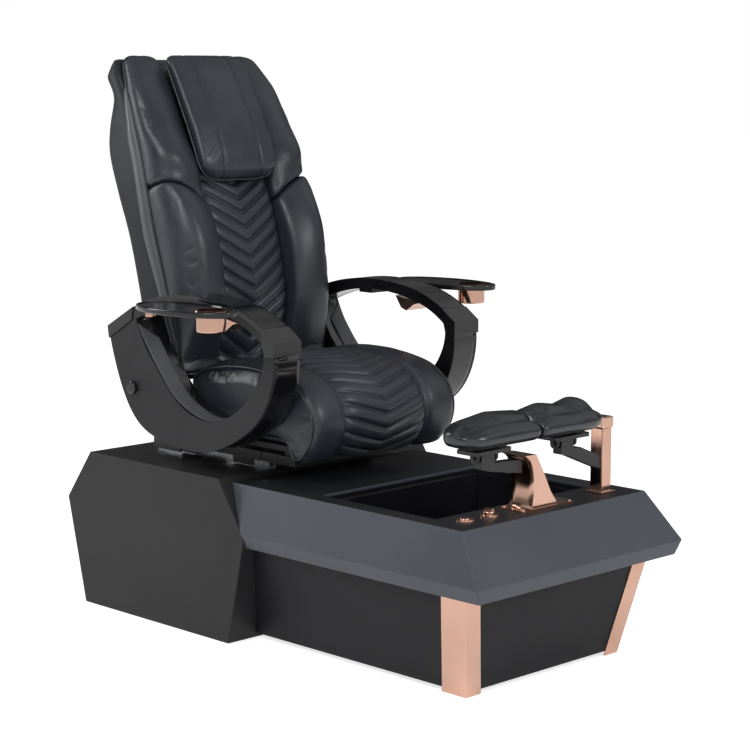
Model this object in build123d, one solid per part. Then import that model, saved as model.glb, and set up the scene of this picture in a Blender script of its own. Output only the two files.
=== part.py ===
from build123d import *
import math
import os

# Frame: X towards the footrest, +Y the sitter's left, Z up, origin on the floor under the middle.

# Overall
HALF_LENGTH = 752
BASE_TOP = 414
CONTROL_SHELF = 76
DECK_TOP = 402
WALL = 8

# Rear base
BASE_HALF_WIDTH = 363
BASE_PROFILE = [(-650, BASE_TOP), (-HALF_LENGTH, 281), (-682, 0), (-93, 0), (-31, 278), (-125, BASE_TOP)]

# Tub apron and plinth: (height, half width, front edge)
DECK_LEVEL = (DECK_TOP, 325, 667)
WAIST_LEVEL = (287, 367, HALF_LENGTH)
LIP_LEVEL = (251, 351, 742)
PLINTH_TOP = (251, 325, 678)
PLINTH_FOOT = (0, 269, 630)
PLINTH_CLEARANCE = 11
TUB_REAR = -300
APRON_WALL = 6

# Foot basin
BASIN_X = (160, 537)
BASIN_HALF_WIDTH = 275
BASIN_FLOOR = 215
BASIN_LIP = 10
BASIN_WALL = 5
BASIN_UNDERSIDE = BASIN_FLOOR - BASIN_WALL
BASIN_DRAFT = 6
DRAIN_X = 350
SPIGOT_R = 16
SPIGOT_LENGTH = 30
SPIGOT_X = 110

# Deck controls
SWITCH_X, SWITCH_Y = 598, -242
MIXER_X, MIXER_Y = 603, -167
CONTROL_HOLE_R = 17
BEZEL_R = 23
BUTTON_R = 12
BUTTON_TRAVEL = 3
KNOB_R = 15

# Footrests: supports stand on the front deck strip, pads hang out to the sitter's right
REST_X = 597
REST_LEFT_POST_Y = 240.5
POST_SIDE = 37
POST_HEIGHT = 158
PAD_LENGTH = 246
PAD_WIDTH = 128
PAD_BOTTOM = 562
PAD_TOP = 640
TILT_AXIS_Z = 541
TILT_PIN_R = 5
RIGHT_PAD_Y = (-288, -42)
LEFT_PAD_Y = (-36, 210)
RIGHT_HEAD_Y = -178
LEFT_HEAD_Y = 100

# Seat slide
RAIL_Y = 180
RAIL_X = (-575, -130)
RAIL_WIDTH = 24
RAIL_HEIGHT = 20
SHOE_GAP = 0.5

SLIDE_DRIVE_Z = 424
SLIDE_ROD_R = 5

# Seat
SEAT_HALF_WIDTH = 254
SEAT_REAR = -380
SIDE_PLATE_Y = (261, 267)

# Backrest
BACK_HALF_WIDTH = 248
RECLINE_X, RECLINE_Z = -425, 590
RECLINE_PIN_R = 8
RECLINE_DRIVE_Y = 60
RECLINE_DRIVE_Z = 448
LEVER_REST_ANGLE = 17.5
SEAM_LINE = [(-405, 668), (-452, 835), (-506, 1003), (-560, 1210), (-612, 1340), (-668, 1440)]
REAR_LINE = [(-560, 668), (-592, 813), (-635, 970), (-683, 1090), (-716, 1190), (-714, 1260),
             (-694, 1343), (-716, 1390), (-700, 1430), (-672, 1452)]
BOLSTER_LINE = [(-392, 668), (-360, 767), (-352, 850), (-367, 980), (-410, 1076), (-448, 1130),
                (-462, 1192), (-512, 1270), (-566, 1360), (-630, 1440), (-660, 1458)]
PANEL_LINE = [(-416, 668), (-392, 817), (-403, 896), (-421, 978), (-445, 1056), (-478, 1128),
              (-500, 1180), (-556, 1300), (-640, 1462)]
PILLOW_FRONT = [(-442, 1137), (-446, 1200), (-500, 1310), (-566, 1430), (-592, 1447)]
PILLOW_BACK = [(-628, 1450), (-549, 1300), (-491, 1180), (-474, 1137)]
PILLOW_HALF_WIDTH = 125
PANEL_HALF_WIDTH = 126

# Massage drive inside the backrest
TRACK_LOW = (-525, 800)
TRACK_HIGH = (-645, 1250)
TRACK_Y = 70
ROLLER_R = 17
ROLLER_OFFSET = 36
ROLLER_Y = (28, 50)

# Arm rings, built on the sitter's right and mirrored
ARM_Y = (272, 357)
ARM_PIVOT_X, ARM_PIVOT_Z = -467, 606
ARM_BOLT_R = 10
ARM_WALL = 6
SHELL_DEPTH = 10
ARCH_LIP = 11
RING_LOWER = [(-561, 728), (-533, 644), (-440, 511), (-315, 474), (-181, 472), (-55, 520),
              (30, 585), (66, 650), (77, 735)]
RING_UPPER = [(78, 768), (31, 802), (-44, 836), (-140, 855), (-235, 861), (-340, 852), (-470, 811)]
RING_REAR = (-565, 754)
WINDOW_LOWER = [(-452, 785), (-430, 740), (-360, 653), (-290, 588), (-185, 552), (-90, 570),
                (-10, 630), (36, 700), (43, 757)]
WINDOW_UPPER = [(43, 757), (-40, 804), (-140, 827), (-250, 833), (-360, 815), (-452, 785)]

# Swivel trays
TRAY_X, TRAY_Y = -128, 455
TRAY_LENGTH, TRAY_WIDTH = 336, 156
TRAY_TOP = 849
TRAY_THICKNESS = 14
CUP_X = -34
CUP_RIM_R = 42
CUP_R = 36
CUP_DEPTH = 52
TRAY_PIVOT_X, TRAY_PIVOT_Y = -266, 455
TRAY_PIN_R = 7
LINK_TOP = 832
LINK_THICKNESS = 8

# Clearances
RUNNING = 0.05
GAP = 0.3


def block(x, y, z):
    """A box from three (low, high) pairs."""
    size = Box(x[1] - x[0], y[1] - y[0], z[1] - z[0])
    return Pos((x[0] + x[1]) / 2, (y[0] + y[1]) / 2, (z[0] + z[1]) / 2) * size


def rod_z(radius, x, y, low, high):
    return Pos(x, y, (low + high) / 2) * Cylinder(radius, high - low)


def rod_y(radius, x, z, low, high):
    return Pos(x, (low + high) / 2, z) * Rot(90, 0, 0) * Cylinder(radius, high - low)


def rod_x(radius, y, z, low, high):
    return Pos((low + high) / 2, y, z) * Rot(0, 90, 0) * Cylinder(radius, high - low)


def side_points(points):
    return [(x, 0, z) for x, z in points]


def side_face(points):
    """A flat polygon in the XZ plane."""
    return make_face(Polyline(*side_points(points), close=True))


def across(face, low, high):
    """A side face drawn out from one Y to another."""
    return extrude(Pos(0, low, 0) * face, amount=high - low, dir=(0, 1, 0))


def along(face, low, high):
    """A YZ face drawn out from one X to another."""
    return extrude(Pos(low, 0, 0) * face, amount=high - low, dir=(1, 0, 0))


def end_face(points):
    """A flat polygon in the YZ plane."""
    return make_face(Polyline(*[(0, y, z) for y, z in points], close=True))


def tub_block(lower, upper, inset_side=0, inset_front=0):
    """A straight-sided block between two (height, half width, front edge) levels."""
    faces = []
    for height, half_width, front in (lower, upper):
        length = front - inset_front - TUB_REAR
        middle = TUB_REAR + length / 2
        faces.append(Pos(middle, 0, height) * Rectangle(length, 2 * (half_width - inset_side)))
    return loft(faces, ruled=True)


def base_envelope():
    """Everything behind the rear base's front wall, wider than the chair."""
    return across(side_face(BASE_PROFILE), -500, 500)


def other_side(part):
    return mirror(part, about=Plane.XZ)


def rear_base_cover():
    profile = side_face(BASE_PROFILE)
    cover = across(profile, -BASE_HALF_WIDTH, BASE_HALF_WIDTH)
    hollow = offset(profile, amount=-WALL, kind=Kind.INTERSECTION)
    cover -= across(hollow, WALL - BASE_HALF_WIDTH, BASE_HALF_WIDTH - WALL)
    cover -= block((-668, -108), (WALL - BASE_HALF_WIDTH, BASE_HALF_WIDTH - WALL), (-1, WALL + 1))
    cover -= hatch_place() * Box(40, 340, 150)
    return cover - rod_x(21, 230, 175, -760, -690)


def hatch_place():
    """Middle of the service hatch, on the sloped lower rear wall of the base."""
    high, low = BASE_PROFILE[1], BASE_PROFILE[2]
    lean = math.degrees(math.atan2(high[0] - low[0], high[1] - low[1]))
    share = 0.4
    return Pos(low[0] + share * (high[0] - low[0]), 0, share * high[1]) * Rot(0, lean, 0)


def service_panel():
    """Flat hatch over the opening in the lower rear wall, with a finger slot."""
    plate = Box(4, 380, 190)
    plate = fillet(plate.edges().filter_by(Axis.X), 14)
    plate -= Pos(0, 0, 70) * Box(6, 90, 14)
    return hatch_place() * Pos(-2.1, 0, 0) * plate


def base_frame():
    """Steel box frame that carries the seat and the tub."""
    side = 30
    frame = block((-620, -150), (-230, -200), (376, 376 + side))
    frame += block((-620, -150), (200, 230), (376, 376 + side))
    for x in (-620, -390, -180):
        frame += block((x, x + side), (-230, 230), (376, 376 + side))
    for x in (-620, -180):
        for y in (-215, 215):
            frame += block((x, x + side), (y - 15, y + 15), (40, 380))
    for y in (-215, 215):
        frame += block((-620, -150), (y - 15, y + 15), (40, 70))
    frame += block((-620, -590), (-230, 230), (40, 70))
    frame += block((-180, -150), (-230, 230), (40, 70))
    frame += block((-570, -410), (-230, 230), (70, CONTROL_SHELF))
    return frame


def tub_frame():
    """Welded stand under the foot tub."""
    side = 25
    frame = block((20, 45), (-240, 240), (40, 65))
    frame += block((545, 570), (-240, 240), (40, 65))
    for y in (-240, 215):
        frame += block((20, 570), (y, y + side), (40, 65))
        frame += block((20, 45), (y, y + side), (60, 190))
        frame += block((545, 570), (y, y + side), (60, 190))
        frame += block((20, 570), (y, y + side), (185, BASIN_UNDERSIDE))
    return frame


def levelling_feet():
    """Six identical screw feet under the two frames."""
    spots = [(-605, -215), (-605, 215), (-165, -215), (-165, 215), (557, -227), (557, 227)]
    feet = []
    for x, y in spots:
        foot = rod_z(20, x, y, 0, 10)
        foot += rod_z(6, x, y, 10, 40)
        feet.append(foot)
    return Compound(children=feet)


def tub_apron():
    """Deck, sloped apron and turned-in lip in one moulding."""
    outer = tub_block(WAIST_LEVEL, DECK_LEVEL) + tub_block(LIP_LEVEL, WAIST_LEVEL)
    waist_in = (WAIST_LEVEL[0], WAIST_LEVEL[1], WAIST_LEVEL[2])
    deck_in = (DECK_TOP - WALL, 328, 674)
    inner = tub_block(waist_in, deck_in, APRON_WALL, APRON_WALL)
    inner += tub_block(LIP_LEVEL, WAIST_LEVEL, APRON_WALL, APRON_WALL)
    apron = outer - inner - base_envelope()
    opening = block(BASIN_X, (-BASIN_HALF_WIDTH, BASIN_HALF_WIDTH), (DECK_TOP - 40, DECK_TOP + 5))
    opening = fillet(opening.edges().filter_by(Axis.Z), 10)
    apron -= opening
    for x, y in ((SWITCH_X, SWITCH_Y), (MIXER_X, MIXER_Y)):
        apron -= rod_z(CONTROL_HOLE_R, x, y, DECK_TOP - 20, DECK_TOP + 5)
    return apron


def plinth_parts():
    """Tapered lower panels: the front one, then the two sides."""
    def level(height):
        share = height / PLINTH_TOP[0]
        half_width = PLINTH_FOOT[1] + share * (PLINTH_TOP[1] - PLINTH_FOOT[1])
        front = PLINTH_FOOT[2] + share * (PLINTH_TOP[2] - PLINTH_FOOT[2])
        return (height, half_width, front)

    foot = level(PLINTH_CLEARANCE)
    outer = tub_block(foot, PLINTH_TOP)
    front = outer - tub_block(foot, PLINTH_TOP, -50, WALL)
    sides = outer - front - tub_block(foot, PLINTH_TOP, WALL, -50)
    return front, sides - base_envelope()


def leg_trims():
    """Rose gold corner legs, L-shaped, just proud of the plinth and down to the floor."""
    proud = 3
    side_width = 74
    front_width = 48
    skin = tub_block(PLINTH_FOOT, PLINTH_TOP, -proud, -proud) - tub_block(PLINTH_FOOT, PLINTH_TOP)
    lean = (PLINTH_TOP[2] - PLINTH_FOOT[2]) / PLINTH_TOP[0]
    drift = (PLINTH_TOP[1] - PLINTH_FOOT[1]) / PLINTH_TOP[0]
    front = PLINTH_FOOT[2] - side_width
    side = PLINTH_FOOT[1] - front_width
    top = PLINTH_TOP[0]
    wedge = side_face([(front, 0), (front + 200, 0), (front + 200 + lean * top, top), (front + lean * top, top)])
    corner = end_face([(side, 0), (side + 200, 0), (side + 200 + drift * top, top), (side + drift * top, top)])
    trim = skin & across(wedge, 0, 500) & along(corner, 0, 900)
    return Compound(children=[trim.solids()[0], other_side(trim).solids()[0]])


def foot_basin():
    """Deep black liner hung in the deck by a flat rim, with a drafted inside."""
    x0, x1 = BASIN_X
    half = BASIN_HALF_WIDTH
    middle = (x0 + x1) / 2
    length = x1 - x0

    def tray(low, high, inset):
        top = Rectangle(length - 2 * inset, 2 * (half - inset))
        bottom = Rectangle(length - 2 * (inset + BASIN_DRAFT), 2 * (half - inset - BASIN_DRAFT))
        return loft([Pos(middle, 0, low) * bottom, Pos(middle, 0, high) * top], ruled=True)

    step = DECK_TOP - 18
    bowl = tray(BASIN_FLOOR - BASIN_WALL, step, BASIN_LIP)
    rim = block((x0 + 1, x1 - 1), (1 - half, half - 1), (step - 5, DECK_TOP - 6))
    bowl += fillet(rim.edges().filter_by(Axis.Z), 10)
    bowl -= tray(BASIN_FLOOR, step + 1, BASIN_LIP + BASIN_WALL)
    bowl -= block((x0 + 5, x1 - 5), (5 - half, half - 5), (step, DECK_TOP + 1))
    bowl -= rod_z(24, DRAIN_X, 0, BASIN_FLOOR - 20, BASIN_FLOOR + 20)
    return bowl - rod_x(38, 0, 300, x1 - 60, x1 + 20)


def basin_drain():
    """Drain flange with a slotted grate, its trap, and an outlet pipe that turns down at its end."""
    z = BASIN_FLOOR
    drain = rod_z(34, DRAIN_X, 0, z, z + 3) + rod_z(23.9, DRAIN_X, 0, z - 60, z)
    drain -= rod_z(20, DRAIN_X, 0, z - 52, z + 0.5)
    for offset_y in (-18, -9, 0, 9, 18):
        drain -= block((DRAIN_X - 22, DRAIN_X + 22), (offset_y - 1.5, offset_y + 1.5), (z, z + 4))
    drain += rod_x(20, 0, z - 60, SPIGOT_X - 20, DRAIN_X)
    drain += rod_z(20, SPIGOT_X, 0, z - 85, z - 60)
    drain += rod_z(SPIGOT_R, SPIGOT_X, 0, z - 85 - SPIGOT_LENGTH, z - 85)
    return drain


def jet_pump():
    """Whirlpool motor behind the front wall of the basin."""
    wall = BASIN_X[1] - BASIN_LIP
    pump = rod_x(37.9, 0, 300, wall - 8, wall + 14) + rod_x(50, 0, 300, wall + 14, wall + 80)
    return pump - rod_x(30, 0, 300, wall - 9, wall + 6)


def jet_cover():
    """Round face plate with a ring of small outlets, inside the basin."""
    wall = BASIN_X[1] - BASIN_LIP - BASIN_WALL - 5
    cover = rod_x(46, 0, 300, wall - 8, wall)
    cover = fillet(cover.edges().sort_by(Axis.X)[0], 4)
    cover -= rod_x(24, 0, 300, wall - 5, wall + 1)
    for turn in range(8):
        angle = math.radians(45 * turn)
        cover -= rod_x(3, 34 * math.cos(angle), 300 + 34 * math.sin(angle), wall - 20, wall + 1)
    return cover


def control_bezels():
    """Two rose gold rings set in the deck."""
    rings = []
    for x, y, bore in ((SWITCH_X, SWITCH_Y, BUTTON_R + GAP), (MIXER_X, MIXER_Y, KNOB_R + GAP)):
        ring = rod_z(BEZEL_R, x, y, DECK_TOP, DECK_TOP + 5)
        ring = chamfer(ring.edges().sort_by(Axis.Z)[-1], 2)
        ring += rod_z(CONTROL_HOLE_R - 0.1, x, y, DECK_TOP - 18, DECK_TOP)
        ring -= rod_z(bore, x, y, DECK_TOP - 20, DECK_TOP + 10)
        rings.append(ring)
    return Compound(children=rings)


def air_switch_button():
    button = rod_z(BUTTON_R, SWITCH_X, SWITCH_Y, DECK_TOP - 6, DECK_TOP + 8)
    return fillet(button.edges().sort_by(Axis.Z)[-1], 3)


def air_switch_body():
    """Bellows cup under the button that sends the puff of air to the pump switch."""
    body = rod_z(22, SWITCH_X, SWITCH_Y, DECK_TOP - 60, DECK_TOP - 18)
    body -= rod_z(BUTTON_R + 1, SWITCH_X, SWITCH_Y, DECK_TOP - 50, DECK_TOP - 10)
    return body + rod_z(4, SWITCH_X, SWITCH_Y, DECK_TOP - 80, DECK_TOP - 60)


def mixer_knob():
    knob = rod_z(KNOB_R, MIXER_X, MIXER_Y, DECK_TOP - 4, DECK_TOP + 14)
    knob = fillet(knob.edges().sort_by(Axis.Z)[-1], 3)
    grip = block((MIXER_X - 12, MIXER_X + 12), (MIXER_Y - 3, MIXER_Y + 3), (DECK_TOP + 13, DECK_TOP + 19))
    return knob + grip + rod_z(6, MIXER_X, MIXER_Y, DECK_TOP - 25, DECK_TOP)


def mixer_valve():
    """Hot and cold mixing valve with its two inlets, under the deck."""
    valve = rod_z(22, MIXER_X, MIXER_Y, DECK_TOP - 75, DECK_TOP - 18)
    valve -= rod_z(6 + RUNNING, MIXER_X, MIXER_Y, DECK_TOP - 30, DECK_TOP)
    for x in (MIXER_X - 12, MIXER_X + 12):
        valve += rod_z(6, x, MIXER_Y, DECK_TOP - 120, DECK_TOP - 70)
    return valve


def power_inlet():
    """Mains inlet socket on the lower rear of the base."""
    z = 175
    body = rod_x(20.9, 230, z, -745, -690) + rod_x(27, 230, z, -750, -736)
    body -= block((-751, -730), (218, 242), (z - 8, z + 8))
    for y in (224, 230, 236):
        body += block((-745, -728), (y - 1, y + 1), (z - 3, z + 3))
    return body - base_skin_cut()


def base_skin_cut():
    """Room for the wall of the rear base round the inlet."""
    profile = side_face(BASE_PROFILE)
    inner = offset(profile, amount=-WALL, kind=Kind.INTERSECTION)
    return across(profile - inner, 230 - 60, 230 + 60) - rod_x(20.9, 230, 175, -800, -600)


def control_box():
    box = block((-560, -420), (-90, 90), (CONTROL_SHELF, CONTROL_SHELF + 70))
    box = fillet(box.edges().filter_by(Axis.Z), 8)
    for y in (-60, -20, 20, 60):
        box += rod_x(6, y, CONTROL_SHELF + 35, -420, -408)
    return box


def slide_rails():
    rails = []
    for y in (-RAIL_Y, RAIL_Y):
        half = RAIL_WIDTH / 2
        rail = block(RAIL_X, (y - half, y + half), (BASE_TOP, BASE_TOP + RAIL_HEIGHT))
        rail -= block((RAIL_X[0] - 1, RAIL_X[1] + 1), (y - 5, y + 5), (BASE_TOP + 8, BASE_TOP + RAIL_HEIGHT + 1))
        rails.append(rail)
    return Compound(children=rails)


def slide_motor():
    """Motor and tube of the drive that moves the seat along its rails."""
    motor = block((-575, -515), (-35, 35), (BASE_TOP, BASE_TOP + 19))
    motor = fillet(motor.edges().filter_by(Axis.Z), 6)
    motor += rod_x(9, 0, SLIDE_DRIVE_Z, -516, -330)
    return motor - rod_x(SLIDE_ROD_R + RUNNING, 0, SLIDE_DRIVE_Z, -450, -320)


def slide_rod():
    rod = rod_x(SLIDE_ROD_R, 0, SLIDE_DRIVE_Z, -410, -150)
    return rod + block((-150, -142), (-20, 20), (BASE_TOP + 2, BASE_TOP + 40))


def carriage_frame():
    """Sliding steel frame: shoes on the rails, cross members, side plates for back and arms."""
    half = RAIL_WIDTH / 2 + SHOE_GAP
    top = BASE_TOP + RAIL_HEIGHT + SHOE_GAP
    frame = None
    for y in (-RAIL_Y, RAIL_Y):
        beam = block((-470, -20), (y - 18, y + 18), (top, top + 24))
        for x in (-470, -260):
            shoe = block((x, x + 70), (y - 18, y + 18), (BASE_TOP + 4, top + 2))
            shoe -= block((x - 1, x + 71), (y - half, y + half), (BASE_TOP, top))
            beam += shoe
        frame = beam if frame is None else frame + beam
    for x in (-470, -180, -50):
        frame += block((x, x + 30), (-200, 200), (top, top + 24))
    frame += block((-480, -420), (-267, 267), (top, top + 10))
    frame -= block((-490, -410), (RECLINE_DRIVE_Y - 15, RECLINE_DRIVE_Y + 15), (top - 1, top + 30))
    upright = side_face([(-500, top), (-390, top), (-395, 620), (-440, 640), (-492, 632)])
    plate = across(upright, -SIDE_PLATE_Y[1], -SIDE_PLATE_Y[0])
    plate -= rod_y(RECLINE_PIN_R + RUNNING, RECLINE_X, RECLINE_Z, -300, -240)
    return frame + plate + other_side(plate)


def lever_tip_x():
    """Where the recline lever's end sits at rest, behind the pivot."""
    return RECLINE_X - (RECLINE_Z - RECLINE_DRIVE_Z) * math.tan(math.radians(LEVER_REST_ANGLE))


def recline_actuator():
    """Motor and tube of the drive that leans the back; it pushes from the front cross member."""
    y, z = RECLINE_DRIVE_Y, RECLINE_DRIVE_Z
    body = rod_x(12, y, z, -345, -180) + block((-240, -180), (y - 16, y + 30), (436, 476))
    return body - rod_x(7 + RUNNING, y, z, -350, -190)


def recline_rod():
    """Rod with an open fork that straddles the lever of the back."""
    y, z = RECLINE_DRIVE_Y, RECLINE_DRIVE_Z
    tip = lever_tip_x()
    rod = rod_x(7, y, z, tip + 20, -290)
    fork = block((tip - 12, tip + 24), (y - 12, y + 12), (z - 12, z + 12))
    fork -= block((tip - 13, tip + 12), (y - 4, y + 4), (z - 15, z + 15))
    return rod + fork


def seat_pan():
    pan = block((SEAT_REAR + 14, -8), (-225, 225), (478, 492))
    pan = fillet(pan.edges().filter_by(Axis.Z), 20)
    for x in (-330, -60):
        for y in (-RAIL_Y, RAIL_Y):
            pan += rod_z(14, x, y, 458.5, 480)
    return pan


def seat_cushion():
    """Soft seat block with a waterfall front that folds down over the pan."""
    crown = Spline(*side_points([(SEAT_REAR, 632), (-321, 668), (-223, 688), (-128, 691), (-53, 686),
                                 (22, 668), (78, 632), (106, 592), (112, 548), (98, 500), (60, 456)]))
    under = Polyline(*side_points([(60, 456), (12, 446), (-4, 493), (SEAT_REAR, 493), (SEAT_REAR, 632)]))
    profile = make_face(crown.edges() + under.edges())
    return across(profile, -SEAT_HALF_WIDTH, SEAT_HALF_WIDTH)


def back_frame():
    """Steel stiles, cross bars and hinge cheeks of the backrest."""
    lean = math.atan2(TRACK_LOW[0] - TRACK_HIGH[0], TRACK_HIGH[1] - TRACK_LOW[1])
    middle_x = (TRACK_LOW[0] + TRACK_HIGH[0]) / 2 - 10
    middle_z = (TRACK_LOW[1] + TRACK_HIGH[1]) / 2
    place = Pos(middle_x, 0, middle_z) * Rot(0, -math.degrees(lean), 0)
    stile = Box(24, 20, 560)
    frame = place * (Pos(0, 175, 20) * stile + Pos(0, -175, 20) * stile)
    for height in (-218, 222):
        frame += place * (Pos(-14, 0, height) * Box(20, 370, 30))
    cheek = side_face([(-448, 572), (-402, 572), (-402, 612), (-440, 668), (-500, 800), (-545, 800), (-520, 690)])
    cheek = across(cheek, -236, -228)
    frame += cheek + other_side(cheek)
    frame += block((-552, -508), (-236, 236), (745, 790))
    pins = rod_y(RECLINE_PIN_R, RECLINE_X, RECLINE_Z, -270, -228)
    tip = lever_tip_x()
    lever = side_face([(-508, 760), (-530, 760), (-500, 680), (-440, 600), (tip - 7, RECLINE_DRIVE_Z),
                       (tip, RECLINE_DRIVE_Z - 8), (tip + 7, RECLINE_DRIVE_Z), (-412, 590), (-420, 615)])
    return frame + pins + other_side(pins) + across(lever, RECLINE_DRIVE_Y - 3, RECLINE_DRIVE_Y + 3)


def rear_cover():
    """Hard back shell: the rear skin and both side walls as far as the piping."""
    edge = Polyline(*side_points(SEAM_LINE))
    rear = Spline(*side_points(REAR_LINE))
    links = [Line((SEAM_LINE[0][0], 0, SEAM_LINE[0][1]), (REAR_LINE[0][0], 0, REAR_LINE[0][1])),
             Line((SEAM_LINE[-1][0], 0, SEAM_LINE[-1][1]), (REAR_LINE[-1][0], 0, REAR_LINE[-1][1]))]
    profile = make_face(edge.edges() + rear.edges() + links)
    cover = across(profile, -BACK_HALF_WIDTH, BACK_HALF_WIDTH)
    inset = 9
    hollow = [(x + inset, z) for x, z in REAR_LINE[:-1]]
    front = [(-300, 1405), (-300, 640), (REAR_LINE[0][0] + inset, 640)]
    cavity = side_face(hollow[:-1] + [(-690, 1405)] + front)
    cover -= across(cavity, inset - BACK_HALF_WIDTH, BACK_HALF_WIDTH - inset)
    return cover


def bolster_profile():
    """Outline of the soft front, from the piping to the front of the side bolsters."""
    gap = 1
    seam = [(x + gap, z) for x, z in SEAM_LINE]
    edge = Polyline(*side_points(seam))
    front = Spline(*side_points(BOLSTER_LINE))
    foot = Line((seam[0][0], 0, seam[0][1]), (BOLSTER_LINE[0][0], 0, BOLSTER_LINE[0][1]))
    head = Line((seam[-1][0], 0, seam[-1][1]), (BOLSTER_LINE[-1][0], 0, BOLSTER_LINE[-1][1]))
    return make_face(edge.edges() + front.edges() + [foot, head])


def back_cushion():
    """Soft front of the backrest: two side bolsters and a sunken middle panel."""
    cushion = across(bolster_profile(), -BACK_HALF_WIDTH, BACK_HALF_WIDTH)
    hollow = side_face(PANEL_LINE + [(-200, 1500), (-200, 640), (-416, 640)])
    return cushion - across(hollow, -PANEL_HALF_WIDTH, PANEL_HALF_WIDTH)


def head_pillow():
    front = Spline(*side_points(PILLOW_FRONT))
    rest = Polyline(*side_points([PILLOW_FRONT[-1]] + PILLOW_BACK + [PILLOW_FRONT[0]]))
    return across(make_face(front.edges() + rest.edges()), -PILLOW_HALF_WIDTH, PILLOW_HALF_WIDTH)


def track_place(share, ahead):
    """A point along the massage track, a given distance in front of it."""
    run = (TRACK_HIGH[0] - TRACK_LOW[0], TRACK_HIGH[1] - TRACK_LOW[1])
    length = math.hypot(*run)
    x = TRACK_LOW[0] + share * run[0] + ahead * run[1] / length
    z = TRACK_LOW[1] + share * run[1] - ahead * run[0] / length
    return x, z


def track_frame(share):
    x, z = track_place(share, 0)
    lean = math.degrees(math.atan2(TRACK_HIGH[0] - TRACK_LOW[0], TRACK_HIGH[1] - TRACK_LOW[1]))
    return Pos(x, 0, z) * Rot(0, lean, 0)


def massage_track():
    """Two guide bars and the tie plates that join them."""
    track = None
    for y in (-TRACK_Y, TRACK_Y):
        bar = Pos(0, y, 0) * Box(14, 10, 460)
        track = bar if track is None else track + bar
    for z in (-220, 220):
        track += Pos(-10.2, 0, z) * Box(6.4, 2 * TRACK_Y + 30, 20)
    return track_frame(0.5) * track


def massage_carriage():
    """Slider on the guide bars with the motor and the fork that holds the rollers."""
    body = Pos(18, 0, 0) * Box(20, 190, 70)
    for y in (-TRACK_Y, TRACK_Y):
        guide = Pos(2, y, 0) * Box(26, 24, 60)
        guide -= Pos(0, y, 0) * Box(14 + 2 * SHOE_GAP, 10 + 2 * SHOE_GAP, 80)
        body += guide
    body += Pos(16, 0, 0) * Box(20, 40, 90)
    for y in (-62, 62):
        body += Pos(30, y, 0) * Box(24, 8, 24)
    bore = Pos(ROLLER_OFFSET, 0, 0) * Rot(90, 0, 0) * Cylinder(5 + RUNNING, 160)
    window = Pos(ROLLER_OFFSET, 0, 0) * Box(2 * ROLLER_R + 3, 2 * ROLLER_Y[1] + 16, 2 * ROLLER_R + 4)
    return track_frame(0.5) * (body - bore - window)


def massage_rollers():
    """Kneading heads on one shaft."""
    shaft = Rot(90, 0, 0) * Cylinder(5, 130)
    for y in ROLLER_Y:
        for side in (-1, 1):
            shaft += Pos(0, side * y, 0) * Rot(90, 0, 0) * Cylinder(ROLLER_R, 12)
    return track_frame(0.5) * Pos(ROLLER_OFFSET, 0, 0) * shaft


def shifted(points, distance):
    """Points moved to the left of their direction of travel, for a wall of even thickness."""
    moved = []
    last = len(points) - 1
    for index, (x, z) in enumerate(points):
        before = points[max(index - 1, 0)]
        after = points[min(index + 1, last)]
        dx, dz = after[0] - before[0], after[1] - before[1]
        length = math.hypot(dx, dz)
        moved.append((x - distance * dz / length, z + distance * dx / length))
    return moved


def ring_outline():
    """Outside outline of an arm ring."""
    lower = Spline(*side_points(RING_LOWER))
    upper = Spline(*side_points(RING_UPPER))
    front = Polyline(*side_points([RING_LOWER[-1], RING_UPPER[0]]))
    rear = Polyline(*side_points([RING_UPPER[-1], RING_REAR, RING_LOWER[0]]))
    return make_face(lower.edges() + front.edges() + upper.edges() + rear.edges())


def window_outline():
    """The open window inside an arm ring."""
    lower = Spline(*side_points(WINDOW_LOWER))
    upper = Spline(*side_points(WINDOW_UPPER))
    return make_face(lower.edges() + upper.edges())


def shifted_loop(lower_points, upper_points, distance):
    """A closed outline from two curves moved inwards, joined by straight lines."""
    lower = Spline(*side_points(shifted(lower_points, distance)))
    upper = Spline(*side_points(shifted(upper_points, distance)))
    front = Line(lower @ 1, upper @ 0)
    rear = Line(upper @ 1, lower @ 0)
    return make_face([lower.edge(), front.edge(), upper.edge(), rear.edge()])


def arm_ring():
    """Gloss moulding: inner face, rims and arch, with the top lip and the end caps."""
    outer, window = ring_outline(), window_outline()
    inner_y, outer_y = -ARM_Y[0], -ARM_Y[1]
    seat = outer_y + SHELL_DEPTH
    ring = across(outer - window, seat, inner_y)
    channel = across(shifted_loop(RING_LOWER, RING_UPPER, ARM_WALL), seat - 1, inner_y - ARM_WALL)
    channel -= across(shifted_loop(WINDOW_LOWER, WINDOW_UPPER, -ARM_WALL), seat - 2, inner_y)
    ring -= channel
    ring += rod_y(24, ARM_PIVOT_X, ARM_PIVOT_Z, seat, inner_y)
    lip = outer - Pos(0, 0, -ARCH_LIP) * outer - window
    ring += across(lip, outer_y, seat + 1)
    rear_cap = side_face([(-568, 758), (-563, 726), (-466, 782), (-460, 816)])
    ring += across(rear_cap, outer_y - 3, inner_y + 3)
    front_cap = side_face([(36, 800), (40, 762), (48, 735), (81, 735), (81, 769)])
    ring += across(front_cap, outer_y - 3, inner_y + 3)
    ring -= rod_y(ARM_BOLT_R + RUNNING, ARM_PIVOT_X, ARM_PIVOT_Z, -400, -200)
    return ring.solids().sort_by(SortBy.VOLUME)[-1]


def arm_side_shell(ring):
    """Matte crescent cover let into the outer face of the ring."""
    outer, window = ring_outline(), window_outline()
    shell = across(outer - window, -ARM_Y[1], SHELL_DEPTH - ARM_Y[1])
    shell -= ring
    shell -= rod_y(ARM_BOLT_R + 0.5, ARM_PIVOT_X, ARM_PIVOT_Z, -400, -200)
    return shell.solids().sort_by(SortBy.VOLUME)[-1]


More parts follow.
